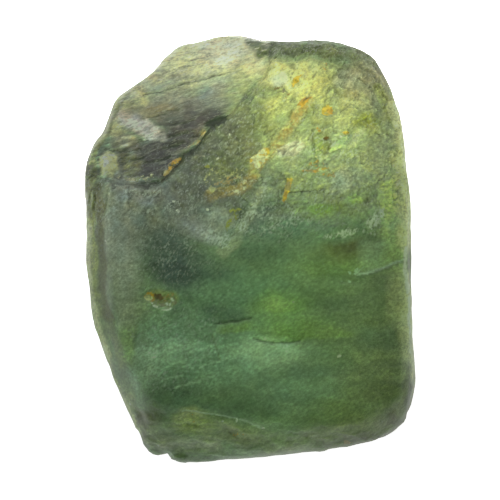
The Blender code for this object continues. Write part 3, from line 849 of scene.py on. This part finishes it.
# %% Pale skin on the underside, below the brightest places
UNDERSIDE = [
    ("chalk", (-2.64, 3.0), (1.0, 0.5), -28, 0.9),
    ("chalk", (-1.0, 4.5), (1.9, 0.9), 28, 0.9),
    ("chalk", (-3.3, 2.1), (0.6, 0.8), 0, 0.9),
    ("chalk", (3.6, 1.1), (0.5, 1.6), 0, 0.9),
    ("chalk", (3.6, -0.6), (0.36, 1.2), 0, 0.9),
]
lay_clouds(UNDERSIDE, 0.4, 1.0 - smoothstep(-0.5, 0.0, normals[:, 2]))

# %% [markdown]
# ## The sides
# A cloud is laid on the plan, so on an upright side it would stretch into a stripe from top to bottom. On a
# real stone the colours run into one another there. Each point of the sides takes the mean of its
# neighbours, eighty times over, and the upper side and the underside stay as they are.

# %% The sides, where the washes run into one another
SIDE_ROUNDS = 80
edge_ends = np.empty(len(stone.data.edges) * 2, dtype=np.int32)
stone.data.edges.foreach_get("vertices", edge_ends)
starts, ends = edge_ends.reshape(-1, 2).T
neighbours = np.bincount(starts, minlength=count) + np.bincount(ends, minlength=count)
sides = smoothstep(-0.8, -0.5, normals[:, 2]) * (1.0 - smoothstep(-0.05, 0.14, normals[:, 2]))
for _ in range(SIDE_ROUNDS):
    for channel in range(3):
        values = colour[:, channel]
        total = np.bincount(starts, values[ends], count) + np.bincount(ends, values[starts], count)
        colour[:, channel] = values + sides * (total / neighbours - values)
print("points on the sides:", int((sides > 0.5).sum()))

# %% [markdown]
# ## Mottling
# The crystal is cloudy all through. A noise with grains of a third to half a millimetre makes each place a
# little lighter or darker, and long wisps run across the level face. The creases, the splinters of the scar
# and the knocks of the bevel get painted shade and painted light from the same noise that carved them, darker
# in their hollows and lighter on their crests. Another noise moves the hue between yellow and blue.

# %% Light and dark
MOTTLE, SLOPE_MOTTLE = 0.12, 0.3
WISP_STRENGTH = 0.26
CREASE_SHADE = 0.75
CREST_LIGHT = 0.45
STEP_SHADE, SPLINTER_SHADE = 0.4, 2.1
GREY_SLOPE_SHADE = 0.9
BEVEL_SHADE = 0.45
mottle = cloud(places, (0.5, 0.32, 0.5), 31, 3)
wisp_places = np.column_stack((*turned(plan + 2.0 * WANDER * wander, -4), places[:, 2]))
wisps = np.tanh(3.0 * cloud(wisp_places, (1.2, 0.28, 0.9), 33, 3))
back = smoothstep(0.0, 0.8, plan[:, 1])
grey_slope = patch((-0.9, 1.75), (1.1, 1.0)) * (1.0 - beyond_crack) * upward
grey_grain = cloud(places, (0.2, 0.14, 0.2), 19, 3)
colour *= (1.0 + (MOTTLE + SLOPE_MOTTLE * back) * mottle + WISP_STRENGTH * (1.0 - back) * wisps)[:, None]
# Painted shade in the creases of the frosted slope, and painted light on the crests beside them.
colour *= (1.0 - CREASE_SHADE * crease + CREST_LIGHT * crest)[:, None]
# Painted shade and light on the steps of the scar and the bevel's knocks; the grey slope gets only a grain.
shade = (STEP_SHADE * scar + SPLINTER_SHADE * lower_scar) * rough_steps
shade += GREY_SLOPE_SHADE * grey_slope * grey_grain + BEVEL_SHADE * bevel_knocks()
colour *= np.exp(shade)[:, None]
print("carved shades, as factors:", np.exp(np.percentile(shade, (1, 99))).round(2))

# %% Yellow and blue: how much of each channel a drift of 1 adds or takes
YELLOWER = np.array([1.0, 0.1, -1.2])
STREAK_YELLOWER = np.array([1.0, 0.0, -1.2])
STREAK_DRIFT = 0.15
DRIFT, SLOPE_DRIFT = 0.08, 0.16
streak_hue = STREAK_DRIFT * scar * cloud(fibre, (0.55, 0.12, 0.6), 35, 2)
hue_drift = (DRIFT + SLOPE_DRIFT * back) * smoothstep(-0.1, 0.2, normals[:, 2])
hue_drift *= cloud(places, (0.34, 0.34, 0.34), 32, 2)
colour *= 1.0 + streak_hue[:, None] * STREAK_YELLOWER
colour *= 1.0 + hue_drift[:, None] * YELLOWER
print("widest drift of the hue:", round(float(np.abs(hue_drift).max()), 2))

# %% [markdown]
# ## Lines, veins and stains
# These are laid on the upper side alone, in a second layer that holds a colour and an amount. The material
# sets the amount against a fine noise, so that a full amount covers, a half amount leaves scattered crumbs,
# and every edge is crisp and ragged however soft it is here.

# %% The crust layer
crust = np.tile(np.array([*linear(PALETTE["ochre"]), 0.0]), (count, 1))


def stain(mask, name, strength=1.0, crumb_name=None):
    """Lays a crust, maybe with crumbs of a second colour, where it is thicker than what lies there."""
    amount = mask * strength * upward
    wins = amount > crust[:, 3]
    crust[wins, :3] = linear(PALETTE[name])
    if crumb_name:
        crust[wins & (crumbs > 0.1), :3] = linear(PALETTE[crumb_name])
    crust[wins, 3] = amount[wins]


# The splits and the crack, wider where it gapes, and the hollow are painted near black, a painted shade in
# their depths, and the bead is pale.
wash(splits, "crack_shade", 0.95)
wash(line(CRACK, 0.05 + 0.07 * open_crack) * upward * (0.6 + 0.4 * open_crack), "crack_shade", 0.98)
stain(line(CRACK, 0.035) * open_crack, "crack_shade", 1.0)
wash(hollow, "crack_shade", 0.98)
stain(hollow, "crack_shade", 1.1)
wash(bead, "lemon", 1.0)
# A painted highlight on the bead's upper left.
stain(patch((-3.4, 2.06), (0.07, 0.14), 10) * upward, "chalk", 0.8)
stain(rubble, "olive", 0.6, "cream")
stain(lip, "dove", 0.35)
print("points in the crack:", int((crack_line > 0.5).sum()))

# %% Stains along a path: path, half width, colour, amount and the colour of the crumbs
PATH_STAINS = [
    ([(-2.08, 1.76), (-1.94, 1.92)], 0.04, "dove", 0.72, "ochre"),
    ([(-1.98, 1.9), (-1.86, 2.04), (-1.7, 2.2)], 0.045, "rust", 0.74, "ochre"),
    ([(-1.26, 2.52), (-1.18, 2.66), (-1.08, 2.8)], 0.08, "drab", 0.62, "ochre"),
    ([(-1.52, 2.44), (-1.36, 2.5)], 0.06, "umber", 0.6, "dove"),
    ([(-1.22, 2.24), (-1.02, 2.24)], 0.03, "cream", 0.6, None),
    (LONG_VEIN[6:9], 0.15, "ochre", 0.52, "cream"),
    (LONG_VEIN[:7], 0.12, "ochre", 0.72, "straw"),
    ([(0.36, 2.36), (0.15, 2.1)], 0.17, "cream", 0.93, "amber"),
    (SHORT_VEIN[:2], 0.07, "amber", 0.95, "ochre"),
    (SHORT_VEIN[1:], 0.06, "rust", 0.9, "amber"),
    ([(1.52, 2.1), (1.7, 1.98), (1.86, 1.84)], 0.12, "ochre", 0.55, "amber"),
    ([(1.2, 1.92), (1.6, 1.84), (1.84, 1.76)], 0.05, "rust", 0.55, "ochre"),
    ([(1.62, 2.55), (1.66, 2.1)], 0.07, "lemon", 0.4, None),
]
for path, half_width, name, strength, crumb_name in PATH_STAINS:
    stain(band(path, half_width), name, strength, crumb_name)
print("stains along paths:", len(PATH_STAINS))

# %% Spots: colour, middle, radii, turn and amount
SPOTS = [
    ("ochre", (-0.62, 1.62), (0.42, 0.22), 20, 0.46),
    ("straw", (-0.7, 1.7), (0.6, 0.36), 20, 0.44),
    ("straw", (-0.9, 1.4), (0.08, 0.06), 0, 0.9),
    ("gold_olive", (-1.04, 2.0), (0.09, 0.06), 0, 0.8),
    ("gold_olive", (-0.42, 0.72), (0.3, 0.14), 60, 0.55),
    ("umber", (0.05, 2.36), (0.22, 0.3), -20, 0.35),
    ("iron_brown", (0.6, 3.92), (0.15, 0.05), 8, 0.75),
    ("umber", (0.76, 3.76), (0.13, 0.13), 40, 0.5),
    ("ochre", (0.86, 3.72), (0.12, 0.1), 40, 0.45),
    ("amber", (1.07, 4.08), (0.13, 0.06), 30, 0.8),
    ("rust", (1.8, 4.34), (0.08, 0.16), 0, 0.5),
    ("amber", (1.3, 3.95), (0.6, 0.4), 30, 0.18),
    ("rust", (1.26, 3.56), (0.16, 0.08), 22, 1.1),
    ("iron_brown", (1.27, 3.59), (0.1, 0.05), 30, 1.15),
    ("amber", (1.85, 3.34), (0.14, 0.12), 0, 0.85),
    ("rust", (1.9, 3.32), (0.09, 0.08), 0, 0.95),
    ("rust", (1.67, 2.88), (0.07, 0.07), 0, 0.8),
    ("iron_brown", (1.86, 2.68), (0.08, 0.06), 0, 0.8),
    ("amber", (2.3, 2.81), (0.11, 0.05), 10, 0.9),
    ("deep_olive", (1.88, 2.46), (0.1, 0.09), 0, 0.8),
    ("drab", (-2.02, -1.16), (0.32, 0.18), -6, 0.62),
    ("ochre", (-1.98, -1.1), (0.2, 0.1), 20, 0.64),
    ("iron_brown", (-2.18, -1.08), (0.13, 0.09), 0, 0.8),
    ("rust", (-2.38, -1.1), (0.13, 0.12), 0, 0.85),
    ("lemon", (-2.4, -1.12), (0.1, 0.1), 0, 0.95),
    ("rust", (-1.42, -4.02), (0.22, 0.12), 10, 0.28),
    ("rust", (-0.25, -4.36), (0.28, 0.1), -6, 0.36),
    ("ochre", (2.3, -4.6), (0.08, 0.06), 0, 0.9),
    ("cream", (2.3, 2.05), (1.3, 1.2), 0, 0.1),
]
for name, middle, radii, turn, strength in SPOTS:
    stain(patch(middle, radii, turn), name, strength)
print("spots:", len(SPOTS))

# %% Colours of the hairlines, grooves and steps: dark in the splits and grooves, a painted shade, and pale on the right hairline, the bevel's step and the rim's step, a painted highlight
LINE_COLOURS = [
    ("upright_split", "crack_shade", 0.8), ("crescent", "sage", 0.8), ("pale_ridge", "sage", 0.8),
    ("slope_line_a", "crack_shade", 0.9), ("low_split", "crack_shade", 0.7), ("slope_line_b", "crack_shade", 0.5),
    ("short_groove", "crack_shade", 0.95), ("upright_groove", "bark", 0.7), ("smile", "crack_shade", 0.9),
    ("left_groove", "bark", 0.3), ("right_hairline", "foam", 0.9), ("bevel_step", "sea", 0.35),
    ("rim_step", "sage", 0.4),
]  # fmt: skip
for line_name, colour_name, strength in LINE_COLOURS:
    wash(lines[line_name], colour_name, strength)
# A painted highlight on the rim's step, and a painted shade along the right hairline's step.
stain(lines["rim_step"], "cream", 0.35)
wash(line([(3.68, -0.26), (3.26, -0.46), (2.9, -0.58), (2.55, -0.64)], 0.04) * upward, "dark_pine", 0.7)
# A painted glow along the thin right edge, at its chip.
wash(line([(3.71, 0.04), (3.71, -0.55), (3.75, -1.02)], 0.055), "chalk", 1.0)
stain(masks["hairline_lens"], "foam", 0.75)
stain(masks["lower_lens"], "foam", 0.5)
stain(band([(-2.35, -1.3), (-2.1, -1.4), (-1.9, -1.35)], 0.05), "chalk", 0.6)
print("coloured lines:", len(LINE_COLOURS))

# %% Scratches of the level face, and white specks where a knock has crushed the skin
SCRATCHES = [
    [(-2.12, -3.1), (-1.62, -3.0)], [(-1.5, -3.17), (-0.85, -3.0)], [(-2.34, -2.95), (-1.74, -2.71)],
    [(-2.29, -2.28), (-1.84, -2.21)], [(-1.43, -2.47), (-0.9, -2.26)], [(-2.03, -2.47), (-1.55, -2.35)],
    [(-1.19, -2.78), (-0.52, -2.57)], [(-1.79, -3.29), (-1.19, -3.12)], [(-2.5, -2.6), (-2.1, -2.46)],
]
for path in SCRATCHES:
    wash(line(path, 0.03) * upward, "foam", 0.5)

WHITE_SPECKS = [
    (-0.44, 2.74), (-0.78, 2.18), (-1.72, 0.94), (-1.81, 1.18), (-1.0, 0.94), (2.17, 2.69),
    (1.0, -1.2), (-0.64, -4.15), (-0.25, -4.08), (0.37, -4.25), (-2.82, -3.67), (-2.2, -4.66),
    (-3.44, 0.22), (-1.87, -1.15), (-0.66, 0.16), (2.14, -2.57), (-2.02, -1.24), (-1.92, -1.26),
]  # fmt: skip
SPECK_RADIUS = 0.035
for middle in WHITE_SPECKS:
    stain(patch(middle, (SPECK_RADIUS, SPECK_RADIUS)), "chalk", 1.1)
print("scratches:", len(SCRATCHES), "specks:", len(WHITE_SPECKS))

# %% [markdown]
# ## Frost and gleam
# Where the river has knocked the skin most, tiny fractures scatter the light and the skin turns whitish.
# That is kept as an amount for the material, highest in the band along the foot of the slope. The clean top
# of the scar and the bead gleam instead, which is kept as another amount: the skin is smoother there, and
# the scar gets more painted highlights.

# %% Where the skin is frosted: middle, radii, turn and amount
FROST = [
    ((0.55, 0.74), (1.3, 0.5), 0, 0.52),
    ((2.35, 0.4), (0.66, 0.09), 8, 0.85),
    ((2.98, 0.78), (0.46, 0.18), 50, 0.9),
    ((0.05, 0.95), (0.16, 0.7), -35, 0.8),
    ((-0.85, 0.35), (0.55, 0.24), -20, 0.8),
    ((-1.6, 1.0), (0.5, 0.3), 0, 0.5),
    ((-2.55, 1.4), (0.6, 0.12), 0, 0.6),
    ((-2.0, -3.05), (0.8, 0.5), 10, 0.4),
    ((-2.1, 0.2), (1.4, 1.5), 0, 0.36),
    ((-1.8, -2.2), (1.4, 1.4), 0, 0.38),
    ((1.9, 2.0), (1.4, 1.2), 0, 0.5),
    ((-0.8, 1.7), (1.0, 1.0), 0, 0.36),
]
LEVEL_FROST, SLOPE_FROST, SPLINTER_FROST = 0.04, 0.31, 0.22
frost = LEVEL_FROST + SLOPE_FROST * back
for middle, radii, turn, amount in FROST:
    frost = np.maximum(frost, patch(middle, radii, turn, 0.6) * amount)
frost *= 1.0 + 0.5 * cloud(places, (0.32, 0.18, 0.3), 18, 2)
gleam = bead + (1.0 - bead) * scar * smoothstep(-0.5, 0.5, over_middle)


def keep(name, kind, values):
    """Stores one value to each point of the skin, for the material to read."""
    layer = stone.data.attributes.new(name, kind, "POINT")
    layer.data.foreach_set("value" if kind == "FLOAT" else "color", values.ravel())


keep("body_colour", "FLOAT_COLOR", np.column_stack((np.clip(colour, 0.0, 1.0), np.ones(count))))
keep("crust", "FLOAT_COLOR", crust)
keep("frost", "FLOAT", frost * upward * (1.0 - scar) + SPLINTER_FROST * lower_scar * (1.0 - bead))
keep("scar", "FLOAT", scar * (1.0 - bead))
keep("gleam", "FLOAT", gleam)
print("share of frost on the upper faces:", round(float(frost[upward > 0.5].mean()), 2))

# %% [markdown]
# ## The material
# Sapphire is clear corundum, of index 1.77. The river has ground its skin to a frost, so light enters and
# leaves it blurred. Iron and titanium in it take out blue and red, and a plain absorption in the volume makes
# thick places deep green and thin edges pale. The washes tint the light that crosses the skin. What is too
# fine for the mesh is drawn by noises here, each with grains of a size in real millimetres. A pixel of the
# picture is 0.024 mm wide and would swallow anything finer, so grain, fibres, flecks and glints are drawn
# 0.05 to 0.1 mm wide, over a cloudiness of 0.2 mm.

# %% Nodes and grains
def add_node(tree, kind, settings=None, inputs=()):
    """Adds a node with its settings. Its inputs are given in order, or by name or number, and each is a
    number, a colour, another node's output, or a node, which stands for its first output."""
    node = tree.nodes.new(kind)
    for name, value in (settings or {}).items():
        setattr(node, name, value)
    pairs = inputs.items() if isinstance(inputs, dict) else enumerate(inputs)
    for socket, value in pairs:
        if isinstance(value, bpy.types.Node):
            value = value.outputs[0]
        if isinstance(value, bpy.types.NodeSocket):
            tree.links.new(value, node.inputs[socket])
        else:
            node.inputs[socket].default_value = value
    return node


def grains(tree, size, turn=0.0, detail=2.0, roughness=0.6):
    """Noise whose grains are as long, wide and deep as size says, in millimetres, turned on the plan."""
    place = add_node(tree, "ShaderNodeTexCoord")
    stretched = add_node(tree, "ShaderNodeMapping", {"vector_type": "TEXTURE"}, {
        "Vector": place.outputs["Object"],
        "Rotation": (0.0, 0.0, math.radians(turn)),
        "Scale": [side * MM for side in size],
    })
    return add_node(tree, "ShaderNodeTexNoise", {}, {
        "Vector": stretched,
        "Scale": 1.0,
        "Detail": detail,
        "Roughness": roughness,
    })


# %% Frosted green sapphire: whitish where it is knocked, streaked in the scar, smoother on its bead
SAPPHIRE_IOR = 1.77
FINE_GRAIN = (0.1, 0.065, 0.08)
COARSE_GRAIN = (0.26, 0.2, 0.22)
FIBRE_GRAIN = (0.22, 0.055, 0.2)
FLECK_GRAIN = (0.11, 0.055, 0.08)
GLINT_GRAIN = (0.18, 0.045, 0.2)
CRUST_EDGE_GRAIN = (0.14, 0.1, 0.1)
CRUST_GRAIN = (0.08, 0.08, 0.08)
# How strongly each grain lightens and darkens the washes, without frost and with full frost.
FINE_SWING = (2.8, 4.8)
COARSE_SWING = (0.3, 1.4)
FULL_FROST = 0.6
# Roughness of the frosted and of the gleaming skin, its mirror light, its clear share, and the absorption.
MATT, GLEAMING = 0.6, 0.4
SPECULAR_LEVEL = 0.08
TRANSMISSION = 0.9
ABSORPTION = 190.0
# Where a Mix node has its two colours and its mixed colour.
COLOUR_A, COLOUR_B, COLOUR_RESULT = 6, 7, 2


def skin_ground(tree, body, fine, frost, scar_share):
    """The washes, lighter and darker with two sizes of grain, more so on frost, and streaked in the scar."""
    coarse = grains(tree, COARSE_GRAIN, 20.0, 1.0)
    swings = []
    for grain, (least, most) in ((fine, FINE_SWING), (coarse, COARSE_SWING)):
        swing = add_node(tree, "ShaderNodeMapRange", {}, (frost, 0.0, FULL_FROST, least, most))
        centred = add_node(tree, "ShaderNodeMath", {"operation": "SUBTRACT"}, (grain, 0.5))
        swings.append(add_node(tree, "ShaderNodeMath", {"operation": "MULTIPLY"}, (centred, swing)))
    both = add_node(tree, "ShaderNodeMath", {"operation": "ADD"}, swings)
    ground = add_node(tree, "ShaderNodeMath", {"operation": "EXPONENT"}, (both,))
    fibres = grains(tree, FIBRE_GRAIN, STEP_DIRECTION, 3.0, 0.75)
    stripes = add_node(tree, "ShaderNodeMapRange", {}, (fibres, 0.34, 0.66, 0.4, 1.6))
    stripes_in_scar = add_node(tree, "ShaderNodeMix", {"data_type": "FLOAT"}, {
        0: scar_share, 2: 1.0, 3: stripes,
    })
    shade = add_node(tree, "ShaderNodeMath", {"operation": "MULTIPLY"}, (ground, stripes_in_scar))
    scaled = add_node(tree, "ShaderNodeVectorMath", {"operation": "SCALE"}, {0: body, "Scale": shade})
    return add_node(tree, "ShaderNodeVectorMath", {"operation": "MINIMUM"}, (scaled, (1.0, 1.0, 1.0)))


def with_flecks(tree, below, frost):
    """Whitish flecks of the frost, partly crushed skin and partly painted glints of its facets, more of them
    and denser where there is more frost.
    """
    flecks = grains(tree, FLECK_GRAIN, KNOCK_DIRECTION, 3.0, 0.8)
    least = add_node(tree, "ShaderNodeMapRange", {}, (frost, 0.0, 1.0, 0.62, 0.41))
    full = add_node(tree, "ShaderNodeMath", {"operation": "ADD"}, (least, 0.11))
    cover = add_node(tree, "ShaderNodeMapRange", {}, (frost, 0.2, 0.9, 0.12, 0.95))
    mask = add_node(tree, "ShaderNodeMapRange", {}, (flecks, least, full, 0.0, cover))
    white = (*linear("#e2e8f4"), 1.0)
    mix = add_node(tree, "ShaderNodeMix", {"data_type": "RGBA"}, {0: mask, COLOUR_A: below, COLOUR_B: white})
    return mix.outputs[COLOUR_RESULT]


def with_glints(tree, below, gleam_share, scar_share):
    """Painted highlights: pale streaks on the scar's finest steps, where the scar is clean."""
    glints = grains(tree, GLINT_GRAIN, STEP_DIRECTION + 6, 2.0, 0.7)
    cover = add_node(tree, "ShaderNodeMapRange", {}, (gleam_share, 0.0, 1.0, 0.08, 0.6))
    anywhere = add_node(tree, "ShaderNodeMapRange", {}, (glints, 0.56, 0.68, 0.0, cover))
    mask = add_node(tree, "ShaderNodeMath", {"operation": "MULTIPLY"}, (anywhere, scar_share))
    glint = (*linear("#fbf8e0"), 1.0)
    mix = add_node(tree, "ShaderNodeMix", {"data_type": "RGBA"}, {0: mask, COLOUR_A: below, COLOUR_B: glint})
    return mix.outputs[COLOUR_RESULT]


def with_crust(tree, below, crust):
    """The crust of iron, crisp at its edge, which eats into a half amount and leaves crumbs of it."""
    edges = grains(tree, CRUST_EDGE_GRAIN, 35.0, 3.0, 0.7)
    least = add_node(tree, "ShaderNodeMapRange", {}, (edges, 0.3, 0.7, 0.95, 0.08))
    full = add_node(tree, "ShaderNodeMath", {"operation": "ADD"}, (least, 0.12))
    mask = add_node(tree, "ShaderNodeMapRange", {}, (crust.outputs["Alpha"], least, full, 0.0, 1.0))
    grain = add_node(tree, "ShaderNodeMapRange", {}, (grains(tree, CRUST_GRAIN), 0.3, 0.7, 0.35, 1.5))
    iron = add_node(tree, "ShaderNodeVectorMath", {"operation": "SCALE"}, {0: crust, "Scale": grain})
    mix = add_node(tree, "ShaderNodeMix", {"data_type": "RGBA"}, {0: mask, COLOUR_A: below, COLOUR_B: iron})
    return mix.outputs[COLOUR_RESULT]


def river_frosted_green_sapphire():
    material = bpy.data.materials.new("river_frosted_green_sapphire")
    material.use_nodes = True
    tree = material.node_tree
    tree.nodes.clear()
    kept = {}
    for name in ("body_colour", "crust", "frost", "scar", "gleam"):
        kept[name] = add_node(tree, "ShaderNodeAttribute", {"attribute_name": name})
    frost = kept["frost"].outputs["Fac"]
    scar_share = kept["scar"].outputs["Fac"]
    gleam_share = kept["gleam"].outputs["Fac"]

    fine = grains(tree, FINE_GRAIN, 30.0, 2.0, 0.75)
    ground = skin_ground(tree, kept["body_colour"], fine, frost, scar_share)
    frosted = with_flecks(tree, ground, frost)
    glinting = with_glints(tree, frosted, gleam_share, scar_share)
    crusted = with_crust(tree, glinting, kept["crust"])

    bump = add_node(tree, "ShaderNodeBump", {}, {"Strength": 0.8, "Distance": 0.02 * MM, "Height": fine})
    shader = add_node(tree, "ShaderNodeBsdfPrincipled", {}, {
        "Base Color": crusted,
        "Roughness": add_node(tree, "ShaderNodeMapRange", {}, (gleam_share, 0.0, 1.0, MATT, GLEAMING)),
        "IOR": SAPPHIRE_IOR,
        "Specular IOR Level": SPECULAR_LEVEL,
        "Transmission Weight": TRANSMISSION,
        "Normal": bump,
    })
    absorption = add_node(tree, "ShaderNodeVolumeAbsorption", {}, {
        "Color": (*linear("#9fbf45"), 1.0),
        "Density": ABSORPTION,
    })
    add_node(tree, "ShaderNodeOutputMaterial", {}, {"Surface": shader, "Volume": absorption})
    print("nodes of the material:", len(tree.nodes))
    return material


# %% The finished piece
stone.data.materials.clear()
stone.data.materials.append(river_frosted_green_sapphire())
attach(stone, "root")
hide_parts("sapphire_crystal")
print("piece:", stone.name, "triangles:", sum(len(face.vertices) - 2 for face in stone.data.polygons))

# %% [markdown]
# ## The studio
# A see-through stone shows the light behind it, so it lies on a white light panel. The panel is brightest in
# a soft ellipse under the stone's upper half, as over a lamp, and this makes the yellow glow there. A dim
# tent keeps the mirror light on the level faces low, and four soft boxes give the slopes their sheen. The
# camera is far away and looks straight down, so the outline has hardly any perspective.

# %% Camera
PICTURE_WIDTH = 12.0 * MM
OUTLINE_HEIGHT = 3.0 * MM
SENSOR = 36.0
LENS = 1200.0

camera_data = bpy.data.cameras.new("camera")
camera_data.lens = LENS
camera_data.sensor_width = SENSOR
camera_data.clip_start = 0.001
camera = bpy.data.objects.new("camera", camera_data)
camera.location = (0.0, 0.0, OUTLINE_HEIGHT + PICTURE_WIDTH * LENS / SENSOR)
bpy.context.scene.collection.objects.link(camera)
bpy.context.scene.camera = camera
print("camera height in millimetres:", round(camera.location.z / MM))

# %% Floor: a white panel, with a glow that fades from its peak over so many millimetres
PANEL_HALF = 0.6
PANEL_BELOW = 0.05 * MM
GLOW_MIDDLE = (-0.35 * MM, 4.2 * MM, 0.0)
GLOW_TURN = 36.0
GLOW_STRETCH = (1.3 * MM, MM, MM)
GLOW_REACH = 9.6
GLOW_PEAK = 8.0
GLOW_POWER = 3.0

floor_mesh = bpy.data.meshes.new("light_panel")
bm = bmesh.new()
bmesh.ops.create_grid(bm, x_segments=1, y_segments=1, size=PANEL_HALF)
bm.to_mesh(floor_mesh)
bm.free()
floor = bpy.data.objects.new("light_panel", floor_mesh)
bpy.context.scene.collection.objects.link(floor)
panel = bpy.data.materials.new("white_light_panel")
panel.use_nodes = True
panel_shader = panel.node_tree.nodes["Principled BSDF"]
panel_shader.inputs["Base Color"].default_value = (0.9, 0.9, 0.9, 1.0)
panel_shader.inputs["Roughness"].default_value = 0.9
panel_shader.inputs["Emission Color"].default_value = (1.0, 1.0, 1.0, 1.0)
tree = panel.node_tree
panel_place = add_node(tree, "ShaderNodeTexCoord")
spot = add_node(tree, "ShaderNodeMapping", {"vector_type": "TEXTURE"}, {
    "Vector": panel_place.outputs["Object"],
    "Location": GLOW_MIDDLE,
    "Rotation": (0.0, 0.0, math.radians(GLOW_TURN)),
    "Scale": GLOW_STRETCH,
})
distance = add_node(tree, "ShaderNodeVectorMath", {"operation": "LENGTH"}, (spot,))
nearness = add_node(tree, "ShaderNodeMapRange", {}, (distance.outputs["Value"], 0.0, GLOW_REACH, 1.0, 0.0))
peak = add_node(tree, "ShaderNodeMath", {"operation": "POWER"}, (nearness, GLOW_POWER))
glow = add_node(tree, "ShaderNodeMapRange", {}, (peak, 0.0, 1.0, 1.0, GLOW_PEAK))
tree.links.new(glow.outputs["Result"], panel_shader.inputs["Emission Strength"])
floor_mesh.materials.append(panel)
floor.location.z = -PANEL_BELOW
print("panel:", floor.name, "glow's middle in millimetres:", [round(side / MM, 2) for side in GLOW_MIDDLE])

# %% Light
TENT_LOW, TENT_HIGH = 0.08, 0.06
world = bpy.data.worlds.new("tent")
world.use_nodes = True
tree = world.node_tree
tree.nodes.clear()
direction = add_node(tree, "ShaderNodeTexCoord")
height = add_node(tree, "ShaderNodeSeparateXYZ", {}, {"Vector": direction.outputs["Generated"]})
tent = add_node(tree, "ShaderNodeMapRange", {}, (height.outputs["Z"], 0.45, 0.95, TENT_LOW, TENT_HIGH))
background = add_node(tree, "ShaderNodeBackground", {}, {"Strength": tent})
add_node(tree, "ShaderNodeOutputWorld", {}, {"Surface": background})
bpy.context.scene.world = world


def softbox(name, place, size, radiance):
    """A square soft light that faces the stone, placed in metres and as bright as its radiance says."""
    data = bpy.data.lights.new(name, "AREA")
    data.size = size
    data.energy = radiance * math.pi * size * size
    lamp = bpy.data.objects.new(name, data)
    lamp.location = place
    lamp.rotation_euler = (-Vector(place)).to_track_quat("-Z", "Y").to_euler()
    bpy.context.scene.collection.objects.link(lamp)


softbox("back_softbox", (-0.03, 0.22, 0.2), 0.3, 0.9)
softbox("left_softbox", (-0.26, 0.02, 0.16), 0.2, 0.15)
softbox("low_softbox", (-0.11, 0.3, 0.12), 0.16, 3.0)
softbox("right_softbox", (0.24, 0.14, 0.07), 0.16, 1.5)
bpy.context.scene.view_settings.view_transform = "Standard"
